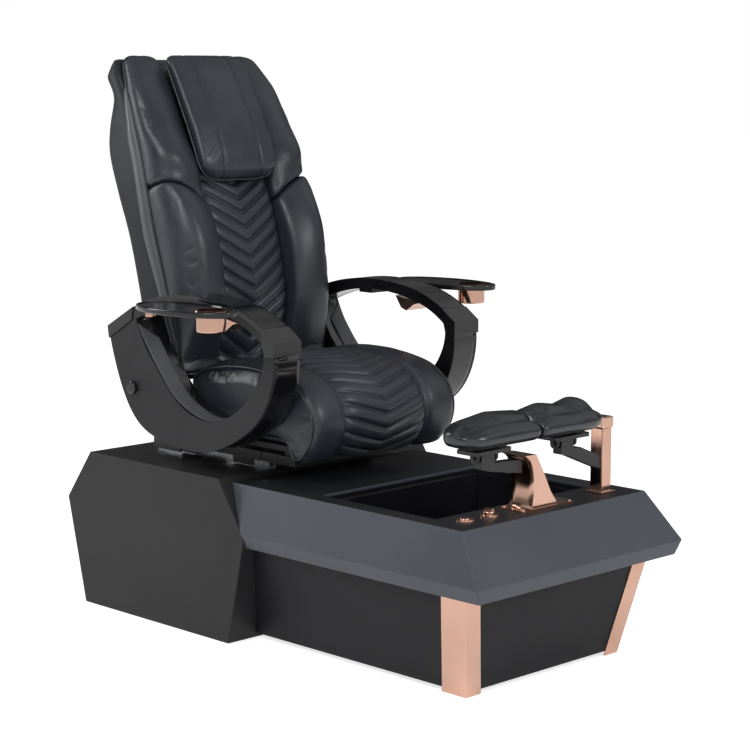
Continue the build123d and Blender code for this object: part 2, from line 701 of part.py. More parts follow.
def arm_bolt():
    bolt = rod_y(ARM_BOLT_R, ARM_PIVOT_X, ARM_PIVOT_Z, -ARM_Y[1] - 1, -SIDE_PLATE_Y[1])
    head = rod_y(17, ARM_PIVOT_X, ARM_PIVOT_Z, -ARM_Y[1] - 10, -ARM_Y[1] - GAP)
    head = fillet(head.edges().sort_by(Axis.Y)[0], 4)
    return bolt + head


def tray_hinge():
    """Rose gold block hung under the arch, with the link that runs back under the tray."""
    inner_y, outer_y = -ARM_Y[0] - 8, -ARM_Y[1] + 8
    wedge = side_face([(-150, 822), (-128, 790), (-108, 783), (-82, 800), (-62, 806)])
    hinge = across(wedge, outer_y, inner_y) - across(ring_outline() - window_outline(), -400, -200)
    return hinge.solids().sort_by(SortBy.VOLUME)[-1]


def tray_link():
    """Black bracket let into the underside of the arch that carries the tray's swivel pin."""
    low, high = LINK_TOP - LINK_THICKNESS, LINK_TOP
    root = -ARM_Y[0] - 12
    link = block((TRAY_PIVOT_X - 16, TRAY_PIVOT_X + 16), (-TRAY_PIVOT_Y, root), (low, high))
    link += rod_z(16, TRAY_PIVOT_X, -TRAY_PIVOT_Y, low, high)
    link += block((TRAY_PIVOT_X - 24, TRAY_PIVOT_X + 24), (-ARM_Y[1], root), (low - 4, high + 30))
    gusset = end_face([(-ARM_Y[1], low - 4), (-ARM_Y[1] - 34, low), (-ARM_Y[1], low)])
    link += along(gusset, TRAY_PIVOT_X - 3, TRAY_PIVOT_X + 3)
    link -= across(ring_outline() - window_outline(), -400, -200)
    link -= rod_z(TRAY_PIN_R + RUNNING, TRAY_PIVOT_X, -TRAY_PIVOT_Y, low - 10, high + 10)
    return link.solids().sort_by(SortBy.VOLUME)[-1]


def tray_outline(shrink):
    """Long pointed oval of the tray."""
    a, b = TRAY_LENGTH / 2 - shrink, TRAY_WIDTH / 2 - shrink
    return Ellipse(a, b)


def tray_plate():
    bottom = TRAY_TOP - TRAY_THICKNESS
    plate = extrude(Pos(TRAY_X, -TRAY_Y, bottom) * tray_outline(0), amount=TRAY_THICKNESS)
    plate = fillet(plate.edges(), 3)
    plate -= extrude(Pos(TRAY_X, -TRAY_Y, TRAY_TOP - 2) * tray_outline(8), amount=3)
    return plate - rod_z(CUP_R + 0.2, CUP_X, -TRAY_Y, bottom - 5, TRAY_TOP + 5)


def cup_holder():
    """Rose gold cup with a flat flange that drops into the tray."""
    floor = TRAY_TOP - CUP_DEPTH
    cup = rod_z(CUP_R, CUP_X, -TRAY_Y, floor, TRAY_TOP - 2)
    cup = fillet(cup.edges().sort_by(Axis.Z)[0], 3)
    cup += rod_z(CUP_RIM_R, CUP_X, -TRAY_Y, TRAY_TOP - 2, TRAY_TOP + 1)
    return cup - rod_z(CUP_R - 2, CUP_X, -TRAY_Y, floor + 2, TRAY_TOP + 5)


def tray_pin():
    """Rose gold swivel pin and thumb nut under the rear end of the tray."""
    low = LINK_TOP - LINK_THICKNESS
    pin = rod_z(TRAY_PIN_R, TRAY_PIVOT_X, -TRAY_PIVOT_Y, low - GAP, TRAY_TOP - TRAY_THICKNESS)
    nut = rod_z(13, TRAY_PIVOT_X, -TRAY_PIVOT_Y, low - 10, low - GAP)
    return pin + fillet(nut.edges().sort_by(Axis.Z)[0], 3)


def footrest_bracket():
    """Bent rose gold support of the right footrest, with its floor flange."""
    left = Spline((0, -51, DECK_TOP + 4), (0, -46, 445), (0, -48, 490), (0, -60, 522), (0, -80, 534))
    rest = Polyline((0, -80, 534), (0, -38, 534), (0, -12, 490), (0, 14, 440), (0, 40, DECK_TOP + 4),
                    (0, -51, DECK_TOP + 4))
    outline = make_face(left.edges() + rest.edges())
    depth = 36
    body = along(outline, REST_X - depth, REST_X + depth)
    flange = block((REST_X - 40, REST_X + 40), (-86, 98), (DECK_TOP, DECK_TOP + 4))
    flange = fillet(flange.edges().filter_by(Axis.Z), 6)
    return body + flange


def footrest_post():
    """Square rose gold post of the left footrest on a thin floor flange."""
    half = POST_SIDE / 2
    y = REST_LEFT_POST_Y
    post = block((REST_X - half, REST_X + half), (y - half, y + half), (DECK_TOP + 4, DECK_TOP + POST_HEIGHT))
    post = chamfer(post.edges().filter_by(Axis.Z), 2)
    flange = block((REST_X - 26, REST_X + 26), (y - 26, y + 26), (DECK_TOP, DECK_TOP + 4))
    return post + flange


def post_cap():
    low = DECK_TOP + POST_HEIGHT
    cap = Pos(REST_X, REST_LEFT_POST_Y, low + 14) * Box(44, 44, 28)
    return chamfer(cap.edges(), 3)


def footrest_arm(foot_y, foot_z, head_y):
    """Diagonal black arm from a support to the tilt head under a pad."""
    rise = end_face([(foot_y, foot_z), (foot_y, foot_z + 32), (head_y + 48, TILT_AXIS_Z - 16),
                     (head_y + 22, TILT_AXIS_Z - 16), (head_y + 22, TILT_AXIS_Z + 7), (head_y - 22, TILT_AXIS_Z + 7),
                     (head_y - 22, TILT_AXIS_Z - 26), (head_y + 10, TILT_AXIS_Z - 34)])
    arm = along(rise, REST_X - 13, REST_X + 13)
    arm = chamfer(arm.edges().filter_by(Axis.X), 1)
    return arm - rod_y(TILT_PIN_R + RUNNING, REST_X, TILT_AXIS_Z, head_y - 60, head_y + 60)


def footrest_plate(head_y):
    """Steel plate under a pad with two ears and the tilt pin."""
    top = PAD_BOTTOM - GAP
    low = TILT_AXIS_Z + 12
    plate = block((REST_X - 34, REST_X + 34), (head_y - 62, head_y + 62), (low, top))
    plate = fillet(plate.edges().filter_by(Axis.Z), 12)
    for y in (head_y - 32, head_y + 32):
        ear = block((REST_X - 12, REST_X + 12), (y - 3, y + 3), (TILT_AXIS_Z - 2, low + 1))
        ear += rod_y(12, REST_X, TILT_AXIS_Z, y - 3, y + 3)
        plate += ear
    return plate + rod_y(TILT_PIN_R, REST_X, TILT_AXIS_Z, head_y - 40, head_y + 40)


def footrest_pad(span):
    """Saddle-shaped pad: a dip along the leg between two raised ends."""
    low, high = span
    mid = (low + high) / 2
    top = Spline((0, low, PAD_TOP - 26), (0, low + 60, PAD_TOP), (0, mid, PAD_TOP - 7), (0, high - 60, PAD_TOP),
                 (0, high, PAD_TOP - 26))
    rest = Polyline((0, high, PAD_TOP - 26), (0, high, PAD_BOTTOM), (0, low, PAD_BOTTOM), (0, low, PAD_TOP - 26))
    face = make_face(top.edges() + rest.edges())
    pad = along(face, REST_X - PAD_WIDTH / 2, REST_X + PAD_WIDTH / 2)
    return chamfer(pad.edges().filter_by(Axis.Z), 14)


def footrest_bolts():
    """Dome-head bolts through the two floor flanges."""
    spots = [(REST_X - 30, -76), (REST_X + 30, -76), (REST_X - 30, 88), (REST_X + 30, 88)]
    bolts = []
    for x, y in spots:
        head = rod_z(5, x, y, DECK_TOP + 4, DECK_TOP + 7)
        bolts.append(fillet(head.edges().sort_by(Axis.Z)[-1], 1.5))
    return Compound(children=bolts)


def arm_parts():
    ring = arm_ring()
    parts = {
        "arm_ring": ring,
        "arm_side_shell": arm_side_shell(ring),
        "tray_hinge_block": tray_hinge(),
        "tray_link": tray_link(),
        "tray_plate": tray_plate(),
        "cup_holder": cup_holder(),
        "tray_swivel_pin": tray_pin(),
    }
    named = {}
    for name, part in parts.items():
        named["right_" + name] = part
        named["left_" + name] = other_side(part)
    return named


def all_parts():
    plinth_front, plinth_sides = plinth_parts()
    parts = {
        "rear_base_cover": rear_base_cover(),
        "service_panel": service_panel(),
        "base_frame": base_frame(),
        "tub_frame": tub_frame(),
        "levelling_feet": levelling_feet(),
        "tub_apron": tub_apron(),
        "plinth_front_panel": plinth_front,
        "plinth_side_panels": plinth_sides,
        "front_leg_trims": leg_trims(),
        "foot_basin": foot_basin(),
        "basin_drain": basin_drain(),
        "jet_pump": jet_pump(),
        "jet_cover": jet_cover(),
        "control_bezels": control_bezels(),
        "air_switch_button": air_switch_button(),
        "air_switch_body": air_switch_body(),
        "mixer_knob": mixer_knob(),
        "mixer_valve": mixer_valve(),
        "power_inlet": power_inlet(),
        "control_box": control_box(),
        "slide_rails": slide_rails(),
        "slide_motor": slide_motor(),
        "slide_rod": slide_rod(),
        "carriage_frame": carriage_frame(),
        "recline_actuator": recline_actuator(),
        "recline_rod": recline_rod(),
        "seat_pan": seat_pan(),
        "seat_cushion": seat_cushion(),
        "back_frame": back_frame(),
        "rear_cover": rear_cover(),
        "back_cushion": back_cushion(),
        "head_pillow": head_pillow(),
        "massage_track": massage_track(),
        "massage_carriage": massage_carriage(),
        "massage_rollers": massage_rollers(),
        "footrest_bracket": footrest_bracket(),
        "footrest_post": footrest_post(),
        "footrest_post_cap": post_cap(),
        "right_footrest_arm": footrest_arm(-62, 490, RIGHT_HEAD_Y),
        "left_footrest_arm": footrest_arm(REST_LEFT_POST_Y - POST_SIDE / 2, 462, LEFT_HEAD_Y),
        "right_footrest_plate": footrest_plate(RIGHT_HEAD_Y),
        "left_footrest_plate": footrest_plate(LEFT_HEAD_Y),
        "right_footrest_pad": footrest_pad(RIGHT_PAD_Y),
        "left_footrest_pad": footrest_pad(LEFT_PAD_Y),
        "footrest_bolts": footrest_bolts(),
        "arm_pivot_bolts": Compound(children=[arm_bolt(), other_side(arm_bolt())]),
    }
    parts.update(arm_parts())
    return parts


os.makedirs("parts", exist_ok=True)
for node, part in all_parts().items():
    export_step(part, f"parts/{node}.step")
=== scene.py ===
import math

import bmesh
import bpy
import numpy as np
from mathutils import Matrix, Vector


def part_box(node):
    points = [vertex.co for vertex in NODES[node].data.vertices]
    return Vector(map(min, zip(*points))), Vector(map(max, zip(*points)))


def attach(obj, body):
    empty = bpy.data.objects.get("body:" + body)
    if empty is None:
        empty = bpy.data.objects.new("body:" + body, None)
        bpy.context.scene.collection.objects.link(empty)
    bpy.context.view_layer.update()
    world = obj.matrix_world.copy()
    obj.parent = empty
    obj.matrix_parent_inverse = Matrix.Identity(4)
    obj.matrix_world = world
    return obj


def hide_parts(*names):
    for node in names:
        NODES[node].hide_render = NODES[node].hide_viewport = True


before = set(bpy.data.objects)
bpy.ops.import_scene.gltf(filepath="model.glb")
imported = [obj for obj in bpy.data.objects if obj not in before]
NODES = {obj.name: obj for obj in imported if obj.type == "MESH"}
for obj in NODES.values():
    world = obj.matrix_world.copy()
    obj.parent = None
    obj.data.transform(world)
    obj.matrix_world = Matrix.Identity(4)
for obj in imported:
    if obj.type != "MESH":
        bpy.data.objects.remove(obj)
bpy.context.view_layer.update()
MM = 0.001

# camera: metres, degrees round from behind, degrees down, mm
CAMERA_PLACE = (3.7194, -3.5902, 1.4036)
CAMERA_AZIMUTH = 45.5457
CAMERA_DOWN = 8.2948
CAMERA_LENS = 98.80

# backrest lines as (x, z) in mm, in the side view
BACK_ORIGIN = (-0.405, 0.668)
BACK_UP = (-0.3225, 0.9466)
BACK_OUT = (0.9466, 0.3225)
SEAM_LINE = [(-405, 668), (-452, 835), (-506, 1003), (-560, 1210), (-612, 1340), (-668, 1440)]
REAR_LINE = [(-560, 668), (-592, 813), (-635, 970), (-683, 1090), (-716, 1190), (-714, 1260),
             (-694, 1343), (-716, 1390), (-700, 1430), (-672, 1452)]
BOLSTER_LINE = [(-392, 668), (-360, 767), (-352, 850), (-367, 980), (-410, 1076), (-452, 1130),
                (-462, 1192), (-512, 1270), (-566, 1360), (-630, 1440), (-660, 1458)]
PANEL_LINE = [(-416, 668), (-392, 817), (-403, 896), (-421, 978), (-445, 1056), (-478, 1128),
              (-500, 1180), (-556, 1300), (-640, 1462)]
PILLOW_FRONT = [(-438, 1138), (-430, 1184), (-457, 1259), (-487, 1316), (-553, 1430), (-590, 1457)]
PILLOW_BACK = [(-474, 1137), (-491, 1180), (-549, 1300), (-628, 1458)]
PANEL_HALF = 0.121
PILLOW_HALF = 0.1300
SPLIT_LOW = 0.398
SPLIT_RISE = 0.064
SPLIT_INNER = 0.12
SPLIT_OUTER = 0.248
SHOULDER = ([0, 0.62, 0.72, 0.80, 0.84], [0.2500, 0.2485, 0.2400, 0.2200, 0.2050])
PILLOW_LOW = 0.456
PILLOW_HIGH = 0.812
GUSSET_WIDTH = ([0, 0.1, 0.35, 0.6, 0.74, 0.80], [0.018, 0.030, 0.048, 0.042, 0.016, 0.008])

# seat lines as (x, z) in mm
SEAT_CROWN = [(-378, 634), (-321, 668), (-223, 690), (-128, 695), (-53, 688), (22, 670), (78, 634),
              (106, 592), (112, 548), (98, 500), (62, 458)]
SEAT_UNDER = [(40, 452), (14, 458), (-2, 497), (-180, 498), (-376, 498)]
SEAT_HALF = 0.2535
SEAT_PANEL_HALF = 0.147
SEAT_EDGE_RADIUS = 0.030

# leather skins: how cloth pressure swells them
CLOTH_PRESSURE = 4.0
CLOTH_FRAMES = 14


# ---------------------------------------------------------------- lines
def catmull(points, steps=24):
    """Dense points on a smooth curve through the given ones."""
    p = np.array(points, float)
    p = np.vstack([2 * p[0] - p[1], p, 2 * p[-1] - p[-2]])
    t = np.linspace(0, 1, steps, endpoint=False)[:, None]
    rows = []
    for i in range(1, len(p) - 2):
        a, b, c, d = p[i - 1], p[i], p[i + 1], p[i + 2]
        rows.append(0.5 * (2 * b + (c - a) * t + (2 * a - 5 * b + 4 * c - d) * t ** 2
                           + (3 * b - a - 3 * c + d) * t ** 3))
    return np.vstack(rows + [p[-2][None]])


def closed_curve(points, count):
    """Evenly spaced points on a smooth closed curve through the given ones."""
    p = np.array(points, float)
    n = len(p)
    t = np.linspace(0, 1, 16, endpoint=False)[:, None]
    rows = []
    for i in range(n):
        a, b, c, d = p[i - 1], p[i], p[(i + 1) % n], p[(i + 2) % n]
        rows.append(0.5 * (2 * b + (c - a) * t + (2 * a - 5 * b + 4 * c - d) * t ** 2
                           + (3 * b - a - 3 * c + d) * t ** 3))
    dense = np.vstack(rows + [p[:1]])
    return even(dense, count + 1)[:-1]


def even(points, count):
    """Points at equal steps along a polyline."""
    p = np.array(points, float)
    run = np.concatenate([[0], np.cumsum(np.linalg.norm(np.diff(p, axis=0), axis=1))])
    at = np.linspace(0, run[-1], count)
    return np.stack([np.interp(at, run, p[:, k]) for k in range(p.shape[1])], axis=1)


def back_frame_of(line):
    """The line as (height along the back, distance in front of its base line)."""
    p = catmull(np.array(line, float) * MM)
    dx, dz = p[:, 0] - BACK_ORIGIN[0], p[:, 1] - BACK_ORIGIN[1]
    h = dx * BACK_UP[0] + dz * BACK_UP[1]
    d = dx * BACK_OUT[0] + dz * BACK_OUT[1]
    order = np.argsort(h)
    return h[order], d[order]


BACK_LINES = {name: back_frame_of(line) for name, line in (
    ("seam", SEAM_LINE), ("rear", REAR_LINE), ("bolster", BOLSTER_LINE), ("panel", PANEL_LINE),
    ("pillow", PILLOW_FRONT), ("pillow_back", PILLOW_BACK))}


def depth_of(name, h):
    """Distance of a named line in front of the back's base line, at a height along the back."""
    return np.interp(h, *BACK_LINES[name])


def back_place(h, d, y):
    """World points from height along the back, distance in front of it, and y."""
    h, d, y = np.broadcast_arrays(np.asarray(h, float), np.asarray(d, float), np.asarray(y, float))
    x = BACK_ORIGIN[0] + BACK_UP[0] * h + BACK_OUT[0] * d
    z = BACK_ORIGIN[1] + BACK_UP[1] * h + BACK_OUT[1] * d
    return np.stack([x, y, z], axis=-1)


def back_frame(co):
    """Height along the back and distance in front of it, for world points."""
    dx, dz = co[:, 0] - BACK_ORIGIN[0], co[:, 2] - BACK_ORIGIN[1]
    return dx * BACK_UP[0] + dz * BACK_UP[1], dx * BACK_OUT[0] + dz * BACK_OUT[1]


# ---------------------------------------------------------------- meshes
def new_mesh(name, verts, faces):
    mesh = bpy.data.meshes.new(name)
    mesh.from_pydata([tuple(v) for v in verts], [], [tuple(f) for f in faces])
    mesh.validate()
    obj = bpy.data.objects.new(name, mesh)
    bpy.context.scene.collection.objects.link(obj)
    fix_normals(obj)
    return obj


def fix_normals(obj):
    """Join points that coincide and turn every face outwards."""
    bm = bmesh.new()
    bm.from_mesh(obj.data)
    bmesh.ops.remove_doubles(bm, verts=bm.verts, dist=1e-5)
    bmesh.ops.recalc_face_normals(bm, faces=bm.faces)
    bm.to_mesh(obj.data)
    bm.free()
    smooth(obj)


def smooth(obj):
    obj.data.polygons.foreach_set("use_smooth", [True] * len(obj.data.polygons))
    obj.data.update()


def grid_mesh(name, pts, wrap=False, caps=False):
    """Quads over an array of points [row, column]; wrap closes the columns, caps fill both ends."""
    rows, cols = pts.shape[:2]
    index = np.arange(rows * cols).reshape(rows, cols)
    faces = []
    last = cols if wrap else cols - 1
    for i in range(rows - 1):
        for j in range(last):
            k = (j + 1) % cols
            faces.append((index[i, j], index[i, k], index[i + 1, k], index[i + 1, j]))
    verts = list(pts.reshape(-1, 3))
    if caps:
        for row in (0, rows - 1):
            verts.append(pts[row].mean(axis=0))
            hub = len(verts) - 1
            for j in range(last):
                faces.append((index[row, j], index[row, (j + 1) % cols], hub))
    return new_mesh(name, verts, faces)


def tube(name, points, radius, count, sides=10):
    """Round cord along a smooth line, with closed ends."""
    line = even(catmull(points, 8), count)
    ahead = np.roll(line, -1, axis=0) - np.roll(line, 1, axis=0)
    ahead[0], ahead[-1] = line[1] - line[0], line[-1] - line[-2]
    ahead /= np.linalg.norm(ahead, axis=1)[:, None]
    ref = np.array([0.0, 1.0, 0.0])
    rings = []
    for i in range(count):
        side = np.cross(ahead[i], ref)
        if np.linalg.norm(side) < 0.2:
            side = np.cross(ahead[i], [0.3, 0.0, 1.0])
        side /= np.linalg.norm(side)
        up = np.cross(side, ahead[i])
        a = np.linspace(0, 2 * math.pi, sides, endpoint=False)[:, None]
        rings.append(line[i] + radius * (np.cos(a) * side + np.sin(a) * up))
    return grid_mesh(name, np.array(rings), wrap=True, caps=True)


def apply_modifiers(obj):
    """Keep the shape that the object's modifiers give, and clear them."""
    bpy.context.view_layer.update()
    graph = bpy.context.evaluated_depsgraph_get()
    mesh = bpy.data.meshes.new_from_object(obj.evaluated_get(graph))
    obj.modifiers.clear()
    old = obj.data
    obj.data = mesh
    bpy.data.meshes.remove(old)
    smooth(obj)


def coords(obj):
    co = np.empty(len(obj.data.vertices) * 3)
    obj.data.vertices.foreach_get("co", co)
    return co.reshape(-1, 3)


def normals(obj):
    no = np.empty(len(obj.data.vertices) * 3)
    obj.data.vertex_normals.foreach_get("vector", no)
    return no.reshape(-1, 3)


def set_coords(obj, co):
    obj.data.vertices.foreach_set("co", co.ravel())
    obj.data.update()


def soften(obj, pinned, voxel=0.0055, relax=6, cap=0.010):
    """Remesh, let cloth pressure swell the skin by at most cap away from its pinned points, and subdivide."""
    mod = obj.modifiers.new("remesh", "REMESH")
    mod.mode = "VOXEL"
    mod.voxel_size = voxel
    mod.use_smooth_shade = True
    mod = obj.modifiers.new("relax", "SMOOTH")
    mod.iterations = relax
    mod.factor = 0.5
    apply_modifiers(obj)
    start = coords(obj)
    group = obj.vertex_groups.new(name="pin")
    held = np.nonzero(pinned(start))[0]
    group.add([int(i) for i in held], 1.0, "REPLACE")
    mod = obj.modifiers.new("cloth", "CLOTH")
    cloth = mod.settings
    cloth.quality = 3
    cloth.mass = 0.25
    cloth.tension_stiffness = 12
    cloth.compression_stiffness = 12
    cloth.shear_stiffness = 6
    cloth.bending_stiffness = 0.6
    cloth.use_pressure = True
    cloth.uniform_pressure_force = CLOTH_PRESSURE
    cloth.effector_weights.gravity = 0
    if len(held):
        cloth.vertex_group_mass = "pin"
    mod.point_cache.frame_start = 1
    mod.point_cache.frame_end = CLOTH_FRAMES
    for f in range(1, CLOTH_FRAMES + 1):
        bpy.context.scene.frame_set(f)
    apply_modifiers(obj)
    bpy.context.scene.frame_set(1)
    move = coords(obj) - start
    length = np.linalg.norm(move, axis=1)[:, None]
    move *= np.minimum(1, cap / np.maximum(length, 1e-9))
    set_coords(obj, start + move)
    obj.vertex_groups.clear()
    obj.modifiers.new("fine", "SUBSURF").levels = 1
    apply_modifiers(obj)


def sink(obj, amount):
    """Move every vertex inwards along its normal by amount(coords), in metres."""
    co = coords(obj)
    set_coords(obj, co - normals(obj) * amount(co)[:, None])
    smooth(obj)


def groove(distance, width, depth):
    """Depth of a sewn channel at a distance from its middle."""
    return depth * np.exp(-(distance / width) ** 2)


def finish_piece(obj, body, slot, material, *nodes):
    """Give a piece its material and body, and hide the CAD nodes that it stands for; slot is not used."""
    obj.data.materials.clear()
    obj.data.materials.append(material)
    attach(obj, body)
    if nodes:
        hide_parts(*nodes)


# ---------------------------------------------------------------- materials
def shader(name, **sockets):
    mat = bpy.data.materials.new(name)
    mat.use_nodes = True
    node = mat.node_tree.nodes["Principled BSDF"]
    for key, value in sockets.items():
        node.inputs[key.replace("_", " ")].default_value = value
    return mat, mat.node_tree, node


def noise(tree, scale, detail=4.0, roughness=0.55, stretch=None):
    place = tree.nodes.new("ShaderNodeTexCoord")
    node = tree.nodes.new("ShaderNodeTexNoise")
    node.inputs["Scale"].default_value = scale
    node.inputs["Detail"].default_value = detail
    node.inputs["Roughness"].default_value = roughness
    source = place.outputs["Object"]
    if stretch:
        mapping = tree.nodes.new("ShaderNodeMapping")
        mapping.inputs["Scale"].default_value = stretch
        tree.links.new(source, mapping.inputs["Vector"])
        source = mapping.outputs["Vector"]
    tree.links.new(source, node.inputs["Vector"])
    return node.outputs["Fac"]


def cells(tree, scale, feature="DISTANCE_TO_EDGE"):
    place = tree.nodes.new("ShaderNodeTexCoord")
    node = tree.nodes.new("ShaderNodeTexVoronoi")
    node.feature = feature
    node.inputs["Scale"].default_value = scale
    tree.links.new(place.outputs["Object"], node.inputs["Vector"])
    return node.outputs["Distance"]


def ramp(tree, source, low, high, low_at=0.3, high_at=0.7):
    node = tree.nodes.new("ShaderNodeValToRGB")
    node.color_ramp.elements[0].position = low_at
    node.color_ramp.elements[0].color = low
    node.color_ramp.elements[1].position = high_at
    node.color_ramp.elements[1].color = high
    tree.links.new(source, node.inputs["Fac"])
    return node.outputs["Color"]


def spread(tree, source, low, high, low_at=0.3, high_at=0.7):
    node = tree.nodes.new("ShaderNodeMapRange")
    node.inputs["From Min"].default_value = low_at
    node.inputs["From Max"].default_value = high_at
    node.inputs["To Min"].default_value = low
    node.inputs["To Max"].default_value = high
    tree.links.new(source, node.inputs["Value"])
    return node.outputs["Result"]


def bump(tree, target, *layers):
    """Bump nodes in a chain: (height output, strength, distance in metres)."""
    last = None
    for height, strength, distance in layers:
        node = tree.nodes.new("ShaderNodeBump")
        node.inputs["Strength"].default_value = strength
        node.inputs["Distance"].default_value = distance
        tree.links.new(height, node.inputs["Height"])
        if last:
            tree.links.new(last, node.inputs["Normal"])
        last = node.outputs["Normal"]
    tree.links.new(last, target.inputs["Normal"])


def leather(name, dark, light, rough=(0.36, 0.52), wrinkle=0.35, specular=0.5):
    mat, tree, node = shader(name, Specular_IOR_Level=specular, Coat_Weight=0.06, Coat_Roughness=0.3)
    tree.links.new(ramp(tree, noise(tree, 9, 5), dark, light), node.inputs["Base Color"])
    tree.links.new(spread(tree, noise(tree, 30, 4), *rough), node.inputs["Roughness"])
    bump(tree, node, (noise(tree, 26, 3, 0.6), wrinkle, 0.0016), (cells(tree, 620), 0.28, 0.0004),
         (noise(tree, 900, 2), 0.12, 0.0003))
    return mat


def painted_top_shade(tree, below, above):
    """The colour above on level tops, and the colour below everywhere else: painted shade that darkens level
    tops.
    """
    face = tree.nodes.new("ShaderNodeNewGeometry")
    parts = tree.nodes.new("ShaderNodeSeparateXYZ")
    tree.links.new(face.outputs["Normal"], parts.inputs["Vector"])
    mix = tree.nodes.new("ShaderNodeMixRGB")
    tree.links.new(spread(tree, parts.outputs["Z"], 0.0, 1.0, 0.90, 0.96), mix.inputs["Fac"])
    tree.links.new(below, mix.inputs["Color1"])
    tree.links.new(above, mix.inputs["Color2"])
    return mix.outputs["Color"]


def painted(name, dark, light, rough, grain=420, strength=0.1, specular=0.5, tops=None):
    """Satin lacquer or laminate with a very fine grain; tops is a second pair of tones for level faces,
    painted shade on them.
    """
    mat, tree, node = shader(name, Specular_IOR_Level=specular)
    color = ramp(tree, noise(tree, 3.5, 5), dark, light)
    # tops: painted shade, a darker colour wherever the surface faces up
    if tops:
        color = painted_top_shade(tree, color, ramp(tree, noise(tree, 3.5, 5), *tops))
    tree.links.new(color, node.inputs["Base Color"])
    tree.links.new(spread(tree, noise(tree, 14, 5), *rough), node.inputs["Roughness"])
    bump(tree, node, (noise(tree, grain, 3), strength, 0.0003))
    return mat


def metal(name, dark, light, rough, brushed=None, strength=0.05):
    mat, tree, node = shader(name, Metallic=1.0)
    tree.links.new(ramp(tree, noise(tree, 6, 4), dark, light), node.inputs["Base Color"])
    tree.links.new(spread(tree, noise(tree, 40, 4, stretch=brushed), *rough), node.inputs["Roughness"])
    bump(tree, node, (noise(tree, 300, 3, stretch=brushed), strength, 0.0002))
    return mat


def gloss_plastic(name, dark, light, rough, coat):
    mat, tree, node = shader(name, Coat_Weight=coat, Coat_Roughness=0.04, Specular_IOR_Level=0.5)
    tree.links.new(ramp(tree, noise(tree, 5, 4), dark, light), node.inputs["Base Color"])
    tree.links.new(spread(tree, noise(tree, 22, 4), *rough), node.inputs["Roughness"])
    bump(tree, node, (noise(tree, 34, 2), 0.05, 0.0004), (noise(tree, 800, 2), 0.03, 0.0001))
    return mat


def textured_plastic(name, dark, light, rough, scale=900, specular=0.4):
    mat, tree, node = shader(name, Specular_IOR_Level=specular)
    tree.links.new(ramp(tree, noise(tree, 7, 5), dark, light), node.inputs["Base Color"])
    tree.links.new(spread(tree, noise(tree, 18, 4), *rough), node.inputs["Roughness"])
    bump(tree, node, (cells(tree, scale, "F1"), 0.25, 0.0003), (noise(tree, 60, 3), 0.06, 0.0004))
    return mat


def tone(r, g, b):
    return (r, g, b, 1.0)


MATERIALS = {
    "base_panel": painted("base_laminate", tone(0.018, 0.018, 0.020), tone(0.023, 0.023, 0.025), (0.42, 0.52),
                          specular=0.28),
    # apron: its darker tops tones are painted shade on the level deck tops
    "apron": painted("apron_lacquer", tone(0.052, 0.060, 0.074), tone(0.063, 0.072, 0.088), (0.40, 0.50),
                     specular=0.4, tops=(tone(0.012, 0.013, 0.016), tone(0.017, 0.018, 0.022))),
    "plinth": painted("plinth_laminate", tone(0.008, 0.008, 0.010), tone(0.012, 0.012, 0.014), (0.42, 0.52),
                      specular=0.2),
    "basin": gloss_plastic("basin_acrylic", tone(0.008, 0.008, 0.011), tone(0.013, 0.013, 0.017),
                           (0.16, 0.26), 0.5),
    "rose_gold": metal("rose_gold", tone(0.68, 0.40, 0.30), tone(0.76, 0.48, 0.37), (0.08, 0.16)),
    "leather": leather("seat_leather", tone(0.014, 0.017, 0.024), tone(0.024, 0.029, 0.039), (0.32, 0.45)),
    "pad_skin": leather("pad_skin", tone(0.009, 0.010, 0.013), tone(0.015, 0.017, 0.021), (0.17, 0.27), 0.15,
                        specular=0.65),
    "arm_gloss": gloss_plastic("arm_gloss", tone(0.004, 0.004, 0.005), tone(0.007, 0.007, 0.008),
                               (0.10, 0.16), 0.3),
    "arm_matte": textured_plastic("arm_matte", tone(0.014, 0.014, 0.016), tone(0.020, 0.020, 0.022),
                                  (0.44, 0.54), specular=0.28),
    "back_shell": leather("shell_leather", tone(0.009, 0.010, 0.012), tone(0.014, 0.015, 0.018),
                          (0.44, 0.54), 0.2, specular=0.25),
    "black_metal": painted("black_enamel", tone(0.012, 0.012, 0.013), tone(0.018, 0.018, 0.019),
                           (0.30, 0.42), 600, 0.2),
    "steel": metal("bright_steel", tone(0.52, 0.53, 0.55), tone(0.62, 0.63, 0.65), (0.20, 0.34), (1, 1, 12)),
    "inner_plastic": textured_plastic("inner_plastic", tone(0.02, 0.02, 0.022), tone(0.03, 0.03, 0.033),
                                      (0.5, 0.6)),
    "white_plastic": textured_plastic("white_plastic", tone(0.70, 0.70, 0.69), tone(0.78, 0.78, 0.77),
                                      (0.3, 0.4)),
    "roller": textured_plastic("roller_rubber", tone(0.05, 0.05, 0.055), tone(0.08, 0.08, 0.085),
                               (0.6, 0.7), 500),
}
PIPING = leather("piping_leather", tone(0.016, 0.017, 0.020), tone(0.024, 0.026, 0.030), (0.28, 0.38), 0.1)
# gusset: a lighter copy of the seat leather, painted highlight on the rounded fold
PAINTED_HIGHLIGHT_GUSSET = leather("gusset_leather", tone(0.060, 0.065, 0.072), tone(0.082, 0.088, 0.098), (0.34, 0.44), 0.3)


LINER = textured_plastic("arm_liner", tone(0.075, 0.077, 0.082), tone(0.095, 0.097, 0.102), (0.5, 0.6), 700)

# how far the edges of the hard shells are rounded, in metres
SOFT_EDGES = {
    0.0022: ("rear_base_cover", "tub_apron"),
    0.0020: ("front_leg_trims", "footrest_post_cap", "right_arm_ring", "left_arm_ring",
             "right_arm_side_shell", "left_arm_side_shell", "right_tray_hinge_block",
             "left_tray_hinge_block"),
    0.0015: ("plinth_front_panel", "plinth_side_panels", "footrest_post", "footrest_bracket"),
}
WELD_DISTANCE = 0.00002
SHARP_ANGLE = 28


